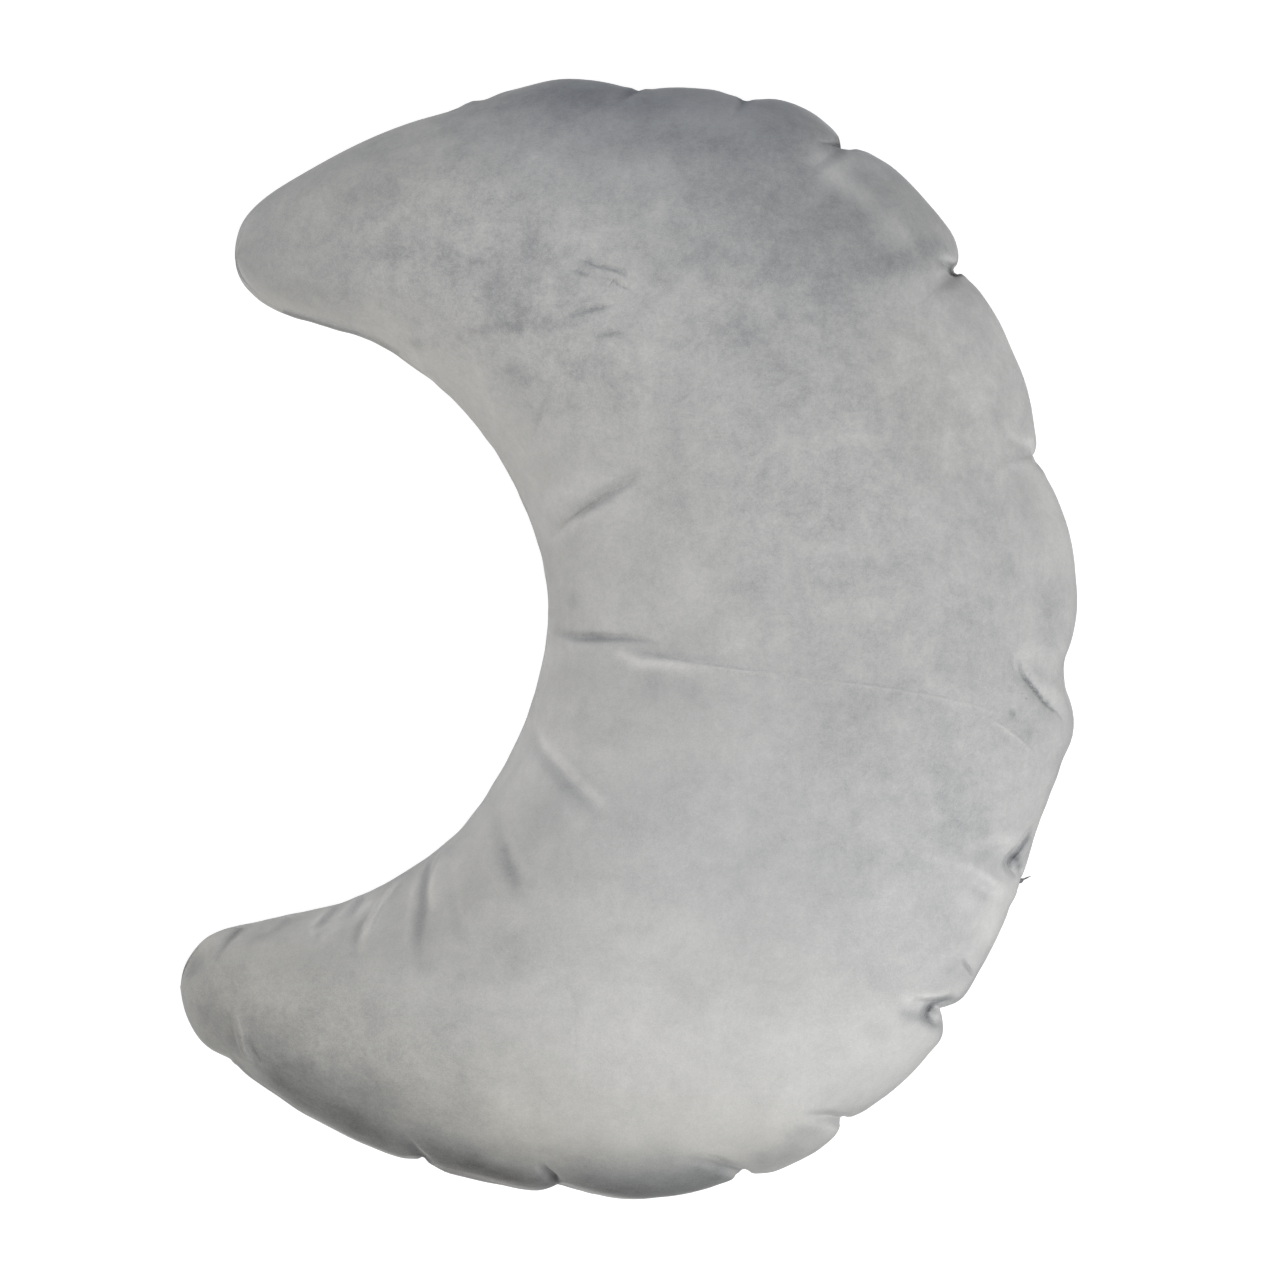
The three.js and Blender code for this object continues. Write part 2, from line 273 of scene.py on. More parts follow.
def rings():
    """The cover before it is puffed up: one ring of points for each pair of points on the two edges."""
    outer, plain, inner = (edge[1:-1] for edge in (outer_edge, plain_edge, inner_edge))
    width = np.linalg.norm(plain - inner, axis=1)
    thickness = thickness_at(width)
    rise = SLACK_BEFORE * FACE_SHARE * thickness
    drop = BACK_SHARE * BACK_SAG * thickness
    seam_height = BACK_SHARE * thickness_at(np.hypot(width, TIP_SUPPORT))
    face_turn = np.arange(FACE_STEPS) / FACE_STEPS
    back_turn = 1 + np.arange(BACK_STEPS) / BACK_STEPS
    even = np.pi * np.concatenate([face_turn, back_turn])
    power = 2 / SECTION_FULLNESS

    # The seam climbs onto the face where it is rolled, and the points near it climb with it.
    outer_climb = (roll_along(outer, OUTER_ROLLS) / rise).clip(0, MOST_ROLL) ** (1 / power)
    bay_climb = (roll_along(inner, BAY_ROLLS) / rise).clip(0, MOST_ROLL) ** (1 / power)
    near_outer = np.exp(-(np.minimum(even, 2 * np.pi - even) / ROLL_SPREAD) ** 2)
    near_bay = np.exp(-(np.abs(even - np.pi) / ROLL_SPREAD) ** 2)
    climb = np.outer(outer_climb, near_outer) - np.outer(bay_climb, near_bay)
    angle = even - SEAM_CROWDING / 2 * np.sin(2 * even) + climb
    across = np.sign(np.cos(angle)) * np.abs(np.cos(angle)) ** power
    up = np.sign(np.sin(angle)) * np.abs(np.sin(angle)) ** power
    height = np.where(up > 0, up * rise[:, None], up * drop[:, None])

    share = ((1 + across) / 2)[..., None]
    lobe = (outer - plain)[:, None] * np.abs(share) ** LOBE_DEPTH
    flat = inner[:, None] + (plain - inner)[:, None] * share + lobe
    lift = np.maximum(seam_height[:, None] + height, 0)
    return np.dstack([flat, lift])


cover = rings()
tip_height = BACK_SHARE * thickness_at(TIP_SUPPORT)
tips = np.array([[*outer_edge[0], tip_height], [*outer_edge[-1], tip_height]])
print("rings:", len(cover), "of", RING_POINTS, "points")
print("crown (mm):", cover[..., 2].max().round(1))


def skin(ring_count, ring_points):
    """The faces over a stack of rings, closed at both ends by a fan to a tip. The two tips come last."""
    faces = []
    upper_tip = ring_count * ring_points
    lower_tip = upper_tip + 1
    last = upper_tip - ring_points
    for i in range(ring_points):
        after = (i + 1) % ring_points
        faces.append((upper_tip, after, i))
        for r in range(0, last, ring_points):
            faces.append((r + i, r + after, r + ring_points + after, r + ring_points + i))
        faces.append((lower_tip, last + i, last + after))
    return faces


def cover_object(name, points, tip_points):
    """A closed mesh object from rings in millimetres."""
    mesh = bpy.data.meshes.new(name)
    vertices = np.vstack([points.reshape(-1, 3), tip_points]) * MM
    mesh.from_pydata(vertices.tolist(), [], skin(len(points), points.shape[1]))
    mesh.shade_smooth()
    piece = bpy.data.objects.new(name, mesh)
    bpy.context.scene.collection.objects.link(piece)
    return piece


# %% [markdown]
# ## The filling
# Blender's cloth can be blown up like a bag. The seam stays where it is and so does the flat underside,
# because the filling pushes everything else outwards. The cloth is cut 2% too large for its outline, as the
# gathered panels are, so the spare length has to go into soft wrinkles beside the seam. Each point may only
# move a few millimetres, which keeps the piece inside the space of the solid. A full pillow is wrinkled
# only where the stitching pulls, so the wrinkles are kept close to the hard puckers and smoothed out
# everywhere else.

# %% Cloth simulation
PRESSURE = 4.0
SPARE_CLOTH = 0.02
FRAMES = 20
MOST_MOVEMENT = 8.0
FLAT_UNDERSIDE = 0.5
PUCKER_PULL = 13.0
CALMING_ROUNDS = 60


def ways_round(net, bay_seam):
    """For every point, the way on the cloth to the outer seam, to the bay seam and all the way round."""
    steps = np.linalg.norm(np.roll(net, -1, axis=1) - net, axis=2)
    whole = steps.sum(axis=1, keepdims=True)
    way = np.cumsum(steps, axis=1) - steps
    return np.minimum(way, whole - way), np.abs(way - way[:, bay_seam : bay_seam + 1]), whole


def calmed(net, rounds):
    """The net with each ring drawn towards the mean of its neighbours, many times over."""
    for _ in range(rounds):
        net = np.concatenate([net[:1], (net[:-2] + 2 * net[1:-1] + net[2:]) / 4, net[-1:]])
    return net


def puffed(points, tip_points):
    piece = cover_object("cover_before_filling", points, tip_points)
    vertices = np.vstack([points.reshape(-1, 3), tip_points])
    number = np.arange(points.shape[0] * points.shape[1]).reshape(points.shape[:2])
    held = set(number[:, 0]) | set(number[:, FACE_STEPS]) | {len(vertices) - 2, len(vertices) - 1}
    held |= set(np.flatnonzero(vertices[:, 2] < FLAT_UNDERSIDE))
    piece.vertex_groups.new(name="held").add([int(v) for v in held], 1.0, "REPLACE")

    cloth = piece.modifiers.new("cloth", "CLOTH")
    cloth.settings.vertex_group_mass = "held"
    cloth.settings.use_pressure = True
    cloth.settings.uniform_pressure_force = PRESSURE
    cloth.settings.shrink_min = -SPARE_CLOTH
    cloth.settings.effector_weights.gravity = 0
    cloth.settings.bending_stiffness = 0.5
    cloth.collision_settings.use_collision = False
    scene = bpy.context.scene
    for step in range(1, FRAMES + 1):
        scene.frame_set(step)
    settled = piece.evaluated_get(bpy.context.evaluated_depsgraph_get()).to_mesh()
    moved = np.empty(len(vertices) * 3)
    settled.vertices.foreach_get("co", moved)
    moved = moved.reshape(-1, 3) / MM - vertices
    scene.frame_set(1)
    bpy.data.objects.remove(piece)
    far = np.linalg.norm(moved, axis=1, keepdims=True)
    print("largest movement (mm):", far.max().round(1), " mean:", far.mean().round(2))
    moved = (moved * np.minimum(1, MOST_MOVEMENT / np.maximum(far, 1e-9)))[:-2].reshape(points.shape)

    # The movement is kept as it is at the hard puckers and calmed elsewhere.
    near_gathers = np.exp(-((ways_round(points, FACE_STEPS)[0] / PUCKER_PULL) ** 2))
    wrinkled = (gathered[1:-1, None] * near_gathers)[..., None]
    filled = points + wrinkled * moved + (1 - wrinkled) * calmed(moved, CALMING_ROUNDS)
    filled[..., 2] = np.maximum(filled[..., 2], 0)
    return filled


cover = puffed(cover, tips)
print("crown (mm):", cover[..., 2].max().round(1))

# %% [markdown]
# ## A finer net
# Small creases need smaller faces than the filling did. A subdivision modifier would do it, but on a
# regular net its smooth surface is a plain cubic spline, which takes a few lines of arithmetic. Worked out
# here it has two gains: the face can be given finer steps than the back, and the columns that lie on the
# seam keep known places that every later step can find.

# %% Refine
FINE_FACE_STEPS = 130
FINE_BACK_STEPS = 54


def resampled(net, at, closed):
    """The spline surface of a net at row numbers that needn't be whole. Rows are its first direction."""
    first = np.floor(at).astype(int)
    t = (at - first)[:, None, None]
    four = [first + k for k in (-1, 0, 1, 2)]
    rows = [net[row % len(net)] if closed else net[row.clip(0, len(net) - 1)] for row in four]
    shares = ((1 - t) ** 3, 3 * t**3 - 6 * t**2 + 4, -3 * t**3 + 3 * t**2 + 3 * t + 1, t**3)
    return sum(share * row for share, row in zip(shares, rows)) / 6


def with_tips(net):
    """The net with each tip as a ring of its own, all of whose points are the tip."""
    ends = np.repeat(tips[:, None], net.shape[1], axis=1)
    return np.concatenate([ends[:1], net, ends[1:]])


half_rings = np.arange(2 * len(cover) + 3) / 2
cover = resampled(with_tips(cover), half_rings, closed=False)[1:-1]
face_columns = np.arange(FINE_FACE_STEPS) * FACE_STEPS / FINE_FACE_STEPS
back_columns = FACE_STEPS + np.arange(FINE_BACK_STEPS) * BACK_STEPS / FINE_BACK_STEPS
columns = np.concatenate([face_columns, back_columns])
cover = resampled(cover.swapaxes(0, 1), columns, closed=True).swapaxes(0, 1)
OUTER_SEAM = 0
BAY_SEAM = FINE_FACE_STEPS
on_face = np.arange(cover.shape[1]) < BAY_SEAM
print("net:", cover.shape[:2], "faces:", cover.shape[0] * cover.shape[1])

# %% [markdown]
# ## Working on the cloth
# From here on the cover is shaped as a sculptor would, by pushing points in or out along the surface's own
# direction. Three things are needed for it: that direction, the way along the seam, and the way across the
# cloth from the seam. All of them are measured on the net, because the filling has changed it.

# %% Measures on the net
def outwards():
    """The direction out of the cloth at every point."""
    along = with_tips(cover)
    along = along[2:] - along[:-2]
    around = np.roll(cover, -1, axis=1) - np.roll(cover, 1, axis=1)
    normal = np.cross(around, along)
    return normal / np.maximum(np.linalg.norm(normal, axis=2, keepdims=True), 1e-9)


from_outer_seam, from_bay_seam, girth = ways_round(cover, BAY_SEAM)
from_seam = np.minimum(from_outer_seam, from_bay_seam)
along_outer_seam = lengths_along(cover[:, OUTER_SEAM])
along_bay_seam = lengths_along(cover[:, BAY_SEAM])
FULL_GIRTH = 190.0
stoutness = np.minimum(1, girth / FULL_GIRTH)
FLOOR_CLEARANCE = 6.0
off_floor = np.minimum(1, cover[..., 2] / FLOOR_CLEARANCE)
print("girth (mm):", girth.min().round(), "to", girth.max().round())


def push(amount):
    """Moves every point out of the cloth by an amount in millimetres, or in where that is negative."""
    global cover
    cover = cover + (amount * stoutness * off_floor)[..., None] * outwards()
    cover[..., 2] = np.maximum(cover[..., 2], 0)


def hill(distance, reach):
    """1 at a distance of 0, running out softly over the reach."""
    return np.exp(-((distance / reach) ** 2))


# %% [markdown]
# ## The seam
# The two panels meet in a turned seam, so all that shows of it is a narrow valley between two soft rolls.
# The stitch pulls the spare cloth of each panel into small gathers, which are strongest a few millimetres
# from the seam and gone two fingers further on. Their spacing is never even, so each wave is a sum of many
# with lengths drawn by chance.

# %% Seam valley and gathers
VALLEY_DEPTH = 1.9
VALLEY_REACH = 2.0
ROLL_HEIGHT = 0.5
ROLL_REACH = 7.0
GATHER_PEAK = 6.0
# how high the gathers stand, shortest and longest wave
OUTER_GATHERS = (0.2, 9.0, 26.0)
BAY_GATHERS = (0.1, 9.0, 24.0)
WAVES = 14
SLIM_IS_SMOOTH = 3  # the power by which the gathers die out on the slim horns


def wandering(along, shortest, longest):
    """A wave that never repeats: many sines of chance length and start, mostly between -1 and 1."""
    lengths = chance.uniform(shortest, longest, WAVES)
    starts = chance.uniform(0, 2 * np.pi, WAVES)
    return np.sin(2 * np.pi * along[:, None] / lengths + starts).sum(axis=1) / math.sqrt(WAVES)


rolls = ROLL_HEIGHT * hill(from_seam, ROLL_REACH)
valley = (VALLEY_DEPTH + ROLL_HEIGHT) * hill(from_seam, VALLEY_REACH)
push(rolls - valley)
gathered_rings = np.interp(half_rings[1:-1], np.arange(len(gathered)), gathered)
for distance, along, share, (height, shortest, longest) in (
    (from_outer_seam, along_outer_seam, gathered_rings, OUTER_GATHERS),
    (from_bay_seam, along_bay_seam, 1.0, BAY_GATHERS),
):
    for panel in (on_face, ~on_face):
        near = distance / GATHER_PEAK * np.exp(1 - distance / GATHER_PEAK)
        waves = height * share * wandering(along, shortest, longest)
        push(waves[:, None] * near * panel * stoutness**SLIM_IS_SMOOTH)
print("seam valley (mm):", VALLEY_DEPTH)

# %% [markdown]
# ## Folds
# Each fold is a line drawn on the cloth with a finger: a few points, a depth and a width. It is a valley
# where the depth is positive and a ridge where it is negative, with a low shoulder on both sides, as
# pressed cloth has. Most folds start at a pucker or in the bay, where the seam pulls, and run out towards
# the middle of the panel.

# %% Paths that a fold, a fine crease and a mark in the pile have in common
FIRST_HORN_FOLD = [(-76.5, -85.5), (-79.2, -92.5), (-81, -101), (-81.5, -107), (-83.5, -115)]
NEXT_HORN_FOLD = [(-95.7, -99.5), (-101.1, -107), (-106.3, -114), (-108.5, -121)]
HORN_RIDGE = [(-87, -93.5), (-93.5, -99), (-99.6, -107), (-103.5, -116), (-106, -126)]
TIP_FOLD = [(-130.5, -109), (-136.5, -113), (-142.5, -117), (-148.5, -120), (-154.5, -124.5)]
TIP_ROLL = [(-149, -112), (-153.5, -115), (-158, -119.5), (-162.5, -125), (-166, -129)]
UPPER_HORN_FOLD = [(-29, 104), (-33.5, 94), (-38.5, 80), (-40.5, 74)]
RIGHT_FOLD = [(156.4, -15), (160.6, -19.8), (165.2, -25.3), (170.5, -29.3), (173.5, -33)]
SHORT_NICK = [(132.5, -127), (135, -130.5), (138, -135)]
CURLED_PUCKER = [(129.5, -143.6), (127, -143.2), (123.6, -143.9), (120.5, -145.5), (118.4, -147.9),
                 (119.2, -150.8), (121.6, -153.3), (124.2, -154.8)]
CLOSED_BY_HAND = [(162.5, -74), (159, -79.5), (155, -84.7), (151.3, -88.4), (152.5, -91.5), (155, -95)]

# %% Fold lines
# depth, width, where along the line it is deepest (0 to 1), points x, y
FOLDS = [
    # the long one in the upper bay, and the soft rise above it
    (2.0, 2.6, 0.5, [(-30.5, 38.5), (-26.5, 44), (-21.5, 48.5), (-15, 52.8), (-8, 57.5), (0, 62.3),
                     (8, 67)]),
    (-0.8, 5.0, 0.4, [(-33.5, 48), (-25.5, 56), (-17.5, 60.5), (-9.5, 64.5)]),
    # the middle of the bay: a valley, and the ridge that runs on as a line left from folding
    (0.8, 2.0, 0.5, [(-33, 5), (-26, 2), (-20, 1), (-9, 1), (-1, 0.8), (6, -0.4)]),
    (-0.7, 2.8, 0.35, [(-5, -3), (4.6, -7.6), (12, -8.4), (19, -9), (33, -11), (43, -12.4)]),
    # the lower bay: a broad valley with a sharp upper side, and a short one after it
    (1.4, 3.8, 0.45, [(-39, -36), (-34, -43), (-27.5, -51), (-21, -58), (-13.5, -65.5)]),
    (-0.5, 2.0, 0.7, [(-36.5, -34), (-30, -43.5), (-21, -52.5), (-14.5, -59), (-8.5, -64.5)]),
    (1.1, 3.4, 0.6, [(-53.5, -66), (-50.5, -76), (-47.5, -87), (-45, -95), (-41, -103)]),
    (-0.3, 3.0, 0.5, [(-47, -76), (-42, -85), (-38.5, -95)]),
    # where the lower horn leaves the bay: the deepest, then ridges and valleys closer and closer together
    (2.3, 3.2, 0.45, [*FIRST_HORN_FOLD, (-83, -123), (-80.5, -132)]),
    (-1.7, 2.0, 0.35, [(-76.5, -84.5), (-81, -92), (-84.3, -101), (-86.5, -108.5), (-88.5, -115)]),
    (-1.4, 2.0, 0.35, [(-70.6, -82.5), (-75, -90), (-77.5, -99), (-78, -106)]),
    (0.7, 2.4, 0.5, [(-70, -88), (-69, -104), (-65.5, -119)]),
    (1.6, 2.7, 0.55, [*NEXT_HORN_FOLD, (-110, -128)]),
    (-1.8, 1.9, 0.4, HORN_RIDGE),
    (0.7, 1.8, 0.45, [(-101.5, -99.5), (-108, -107), (-113, -115), (-116, -121)]),
    (-1.4, 1.7, 0.4, [(-107, -103), (-112, -107.5), (-117.5, -112.5), (-123, -118)]),
    (0.6, 1.6, 0.4, [(-110.5, -102.5), (-119, -110.7), (-125, -117.5), (-128, -122)]),
    (-1.2, 1.6, 0.4, [(-116.3, -105.5), (-122.8, -111.5), (-128, -117.2)]),
    # at the lower tip, beside the rolled seam
    (1.3, 2.0, 0.4, TIP_FOLD),
    (2.0, 2.0, 0.4, TIP_ROLL),
    (2.0, 1.8, 0.6, [(-153.5, -159), (-151, -166), (-147, -172)]),
    (0.6, 2.0, 0.5, [(-161, -149.5), (-159, -159), (-157, -167)]),
    # ridges across the lower tip
    (-1.6, 1.9, 0.5, [(-158.5, -148), (-156, -157), (-154, -165), (-149.5, -172.5)]),
    (-1.4, 1.8, 0.5, [(-147, -114.5), (-153, -118.5), (-158, -123), (-163, -129)]),
    # on the upper horn, running together towards the middle
    (0.6, 2.0, 0.6, [(-33.5, 155.5), (-22.5, 151.5), (-10.5, 147.5), (-1, 142)]),
    (0.5, 2.0, 0.5, [(-61, 122), (-33.5, 123.5), (-15.5, 131.5), (-4.5, 134)]),
    (-0.7, 1.9, 0.5, [(-33.5, 118.5), (-21.5, 122.5), (-11.5, 126)]),
    (-0.6, 2.4, 0.5, [(-31.5, 114), (-30.5, 107), (-30.5, 98)]),
    (0.8, 2.2, 0.3, UPPER_HORN_FOLD),
    # at the puckers, where the seam pulls the cloth in
    (1.0, 3.4, 0, [(47.5, 219), (45, 208)]),
    (1.4, 3.6, 0, [(165, 73), (154, 72)]),
    (1.2, 2.0, 0, [(4, 221), (-1, 216), (-8, 213)]),
    (1.0, 2.0, 0, [(47, 217), (44, 211), (38, 205)]),
    (2.2, 2.2, 0, [(87.7, 197.3), (82, 197.3), (75, 197)]),
    (-0.8, 3.2, 0.3, [(90, 193), (80, 187), (72, 180)]),
    (3.0, 2.2, 0, [(131.5, 148), (126, 150), (121, 153)]),
    (1.0, 3.2, 0.2, [(132, 147), (124, 141), (117, 134)]),
    (-1.4, 3.4, 0.2, [(163, 72), (154, 70), (144, 67)]),
    (1.0, 2.6, 0.1, [(163, 76), (155, 78), (147, 82)]),
    (-0.9, 2.4, 0.5, [(165, -16), (170, -21), (174, -26)]),
    (-0.6, 1.8, 0.5, [(155, -26.5), (161, -27)]),
    (1.5, 2.2, 0.5, [(153.5, -5), (154, -10), *RIGHT_FOLD]),
    (0.9, 1.9, 0.5, [(151.3, -26), (151.3, -32)]),
    (0.9, 3.0, 0.5, [(159, -29.5), (159.5, -39)]),
    (0.8, 2.4, 0.4, [(149, -34), (150.5, -41)]),
    (-1.2, 3.4, 0.3, [(152, -100), (145, -95.5), (139, -91.5), (133, -89), (123, -87)]),
    (-1.0, 3.0, 0.5, [(144, -82), (150, -79), (155, -80)]),
    (0.8, 2.6, 0.5, [(151, -86), (143, -83.5), (134, -83.5)]),
    (1.1, 2.8, 0.5, [(146, -104), (140, -99), (134, -96)]),
    (0.7, 1.9, 0.5, SHORT_NICK),
    (-0.8, 3.0, 0.5, [(127, -119), (131, -124)]),
    (2.3, 2.4, 0, [(85.5, -192), (80, -190.4), (74, -189.6), (68, -189)]),
    (2.2, 2.4, 0, [(46.5, -214.5), (37, -211), (28.7, -208), (20, -207)]),
    (2.8, 2.2, 0.2, [(-28.5, -218.5), (-32.5, -214), (-35.5, -208)]),
    (-0.8, 2.0, 0.4, [(-37.5, -216), (-38, -207)]),
    (0.4, 2.2, 0.4, [(-35, -208), (-36.5, -196), (-37, -180)]),
    (1.4, 2.2, 0, [(-82, -208.5), (-86, -203), (-89, -196)]),
    (-0.9, 2.4, 0.4, [(-158, -143), (-154, -160), (-146, -175)]),
    # the deep pucker that curls round on itself
    (2.5, 1.9, 0.4, CURLED_PUCKER),
    (-1.6, 2.2, 0.5, [(110, -142.5), (119, -140.5), (129, -141)]),
    (1.0, 5.0, 0.5, [(108, -147), (114, -149.5)]),
    (-1.2, 1.8, 0.5, [(121.5, -149.3), (124.5, -149.5)]),
    # where the seam was closed by hand
    (4.2, 1.8, 0.6, CLOSED_BY_HAND),
]
FOLD_SAMPLES = 24
BACK_SHARE_OF_FOLD = 0.6
SHOULDER = 0.2
SEAM_FREE = 4.0  # folds that don't start in the seam stay this far from it


def distance_to(line, place):
    """For each place: how far it is from a line, how much of the line lies behind it (0 to 1), its side."""
    at = lengths_along(line) / lengths_along(line)[-1]
    least = np.full(place.shape[:-1], np.inf)
    behind = np.zeros(place.shape[:-1])
    side = np.ones(place.shape[:-1])
    for i, (start, run) in enumerate(zip(line[:-1], np.diff(line, axis=0))):
        part = (((place - start) @ run) / (run @ run)).clip(0, 1)
        off = np.linalg.norm(place - start - part[..., None] * run, axis=-1)
        turn = run[0] * (place[..., 1] - start[1]) - run[1] * (place[..., 0] - start[0])
        nearer = off < least
        least[nearer] = off[nearer]
        behind[nearer] = (at[i] + part * (at[i + 1] - at[i]))[nearer]
        side[nearer] = np.where(turn < 0, -1, 1)[nearer]
    return least, behind, side


def fading(behind, deepest):
    """How a fold deepens along its line: 0 at both ends and 1 at its deepest place."""
    rising = np.sin(np.pi / 2 * behind / max(deepest, 1e-6))
    falling = np.cos(np.pi / 2 * (behind - deepest) / (1 - deepest))
    return np.where(behind < deepest, rising, falling)


def line_through(points):
    return curve_through(points, np.linspace(0, len(points) - 1, FOLD_SAMPLES))


def near_line(line, reach):
    """Which points of the cover lie in the box round a line."""
    flat = cover[..., :2]
    return ((flat > line.min(axis=0) - reach) & (flat < line.max(axis=0) + reach)).all(axis=2)


def fold(depth, width, deepest, points):
    """How far one fold takes the cloth in, at every point of the net."""
    line = line_through(points)
    flat = cover[..., :2]
    near = near_line(line, 4 * width)
    off, behind, _ = distance_to(line, flat[near])
    sunk = np.zeros(flat.shape[:2])
    sunk[near] = depth * fading(behind, deepest) * (1 - SHOULDER * (off / width) ** 2) * hill(off, width)
    if deepest == 0:
        return sunk * np.where(on_face, 1.0, BACK_SHARE_OF_FOLD)
    return sunk * on_face * (1 - hill(from_seam, SEAM_FREE))


sunk_in_folds = np.zeros(cover.shape[:2])
for depth, width, deepest, points in FOLDS:
    sunk = fold(depth, width, deepest, points)
    push(-sunk)
    sunk_in_folds += sunk
print("folds:", len(FOLDS))

# %% [markdown]
# ## Fine creases
# A crease thinner than the faces of the net can't be pushed into it. But the distance to a line changes
# evenly across a face, so the net can carry that distance as a number, and the material draws the line from
# it, as thin as it likes: a dent with painted shade in it, or a rise with painted light on it. Lines that
# lie close together must not share a number, so each line goes to the first layer with room for it. The last
# layer is the stitched seam itself: there the distance is simply the way on the cloth, and the seam line
# gets the same painted shade.

# %% Crease lines
# depth, width, where along the line it is deepest (0 to 1), points x, y
FINE_CREASES = [
    # in the bay
    (0.7, 1.1, 0.5, [(-29.5, 39.5), (-25.5, 44.5), (-20.5, 48.5), (-14, 52.6), (-7, 57.3), (0, 61.5),
                     (8, 66)]),
    (1.0, 1.2, 0.45, [(-30, 2.8), (-20.3, 0.8), (-8.6, 0.8), (-1, 0.6), (13.4, -1.4)]),
    (0.3, 0.8, 0.5, [(5, -4.4), (18.7, -7.8), (29, -9.6)]),
    (-0.5, 0.8, 0.4, [(24, -9.8), (33, -11), (43, -12.4), (60, -14)]),
    (-0.35, 0.8, 0.5, [(50, -14), (69, -15.5), (97, -19), (129, -24.5), (153, -31)]),
    # on the lower horn
    (0.2, 1.4, 0.4, FIRST_HORN_FOLD),
    (0.25, 1.2, 0.5, NEXT_HORN_FOLD),
    (-0.6, 0.9, 0.4, HORN_RIDGE),
    (0.5, 1.2, 0.4, TIP_ROLL),
    (0.3, 1.2, 0.4, TIP_FOLD),
    (-0.8, 0.8, 0.6, [(-158, -149), (-155.5, -157), (-154, -165), (-149.5, -172.5)]),
    (0.15, 0.7, 0.5, [(-30.5, -133), (-25, -136), (-21.5, -141), (-20.5, -147), (-22, -152), (-26.5, -157),
                      (-30.5, -162)]),
    (0.12, 0.7, 0.5, [(-21.5, -145), (-20.5, -157), (-20.5, -169)]),
    # on the upper horn
    (1.0, 1.1, 0.75, [(-20.5, 150.5), (-13, 147.7), (-7, 146.2), (-2.5, 144.4), (0, 142)]),
    (0.6, 1.1, 0.5, [(-23.5, 145.8), (-19.5, 144.6), (-14, 142.5)]),
    (0.8, 1.0, 0.6, [(-5, 140.2), (-1.5, 139), (1.5, 137)]),
    (0.8, 1.2, 0.7, [(-28, 125.5), (-20.7, 128), (-12.8, 130), (-4.6, 132.3)]),
    (0.8, 1.3, 0.6, [(-14.5, 118.8), (-8, 120), (-2.2, 121)]),
    (0.3, 1.4, 0.4, UPPER_HORN_FOLD),
    (-0.5, 0.9, 0.4, [(-91.5, 124), (-87, 117), (-81.5, 108)]),
    (0.3, 0.9, 0.3, [(-94, 122), (-89.5, 115), (-85, 108)]),
    # at the right-hand pucker
    (1.1, 0.8, 0.5, [(154, -4), (154.2, -10), *RIGHT_FOLD]),
    (0.4, 0.7, 0.6, [(150.5, -3), (151, -9), (153, -14)]),
    (0.8, 1.1, 0.5, [(151.5, -26.5), (151.3, -31.5)]),
    (-0.7, 0.9, 0.4, [(141, -31), (145, -33), (150.5, -36.5), (157, -42), (161.5, -46.5)]),
    # below it, down to the deep pucker
    (0.2, 0.9, 0.5, [(103, -84), (107, -89), (111, -95)]),
    (0.35, 0.9, 0.6, [(123, -106.5), (126, -111.5), (129.5, -117)]),
    (0.25, 0.9, 0.5, [(122, -123), (125, -121.5), (128, -123)]),
    (1.2, 0.8, 0.5, SHORT_NICK),
    (1.5, 0.8, 0.6, [(163.5, -72), *CLOSED_BY_HAND]),
    (1.5, 0.9, 0.5, CURLED_PUCKER),
    # at the lower puckers
    (0.7, 1.0, 0.5, [(45, -212.5), (37.5, -207.5), (30, -204.6)]),
    # at the upper puckers
    (1.2, 0.9, 0.3, [(87, 197), (81, 196.8), (75, 197)]),
    (1.2, 1.0, 0.2, [(132, 148.5), (128, 149), (124, 151)]),
]
SEAM_LINE_DEPTH = 0.7
SEAM_LINE_WIDTH = 0.6
CREASE_REACH = 5.0
LAYER_GAP = 10.5
FAR_AWAY = 30.0


def empty_layer():
    """Distance, depth and width of the nearest crease, for each point of the net."""
    return np.dstack([np.full(cover.shape[:2], fill) for fill in (FAR_AWAY, 0.0, 1.0)])


def draw_crease(layer, depth, width, deepest, line):
    near = near_line(line, 2 * CREASE_REACH)
    off, behind, side = distance_to(line, cover[..., :2][near])
    mine = off < np.abs(layer[near][:, 0])
    held = (2 * (1 - off / CREASE_REACH)).clip(0, 1) * on_face[np.nonzero(near)[1]]
    drawn = np.column_stack([off * side, depth * fading(behind, deepest) * held, np.full(len(off), width)])
    layer[near] = np.where(mine[:, None], drawn, layer[near])


# The seam line: a dent, darkened with painted shade like every fine crease.
seam_layer = np.dstack([
    np.where(on_face, from_seam, -from_seam),
    np.full(cover.shape[:2], SEAM_LINE_DEPTH),
    np.full(cover.shape[:2], SEAM_LINE_WIDTH),
])
crease_layers = []
lines_in_layer = []
for depth, width, deepest, points in FINE_CREASES:
    line = line_through(points)
    gaps = [min(distance_to(other, line)[0].min() for other in lines) for lines in lines_in_layer]
    free = next((i for i, gap in enumerate(gaps) if gap > LAYER_GAP), len(gaps))
    if free == len(gaps):
        crease_layers.append(empty_layer())
        lines_in_layer.append([])
    lines_in_layer[free].append(line)
    draw_crease(crease_layers[free], depth, width, deepest, line)
crease_layers.append(seam_layer)
print("fine creases:", len(FINE_CREASES), "in", len(crease_layers), "layers with the seam")

# %% [markdown]
# ## Unevenness
# Loose filling is never spread quite evenly, so even a smooth stretch of cloth rises and falls by half a
# millimetre over a few centimetres. The eye reads it as softness. Waves in chance directions through the
# whole piece do it.

# %% Uneven filling
UNEVEN_HEIGHT = 0.45
SHORTEST_SWELL = 28.0
LONGEST_SWELL = 80.0
SWELLS = 24

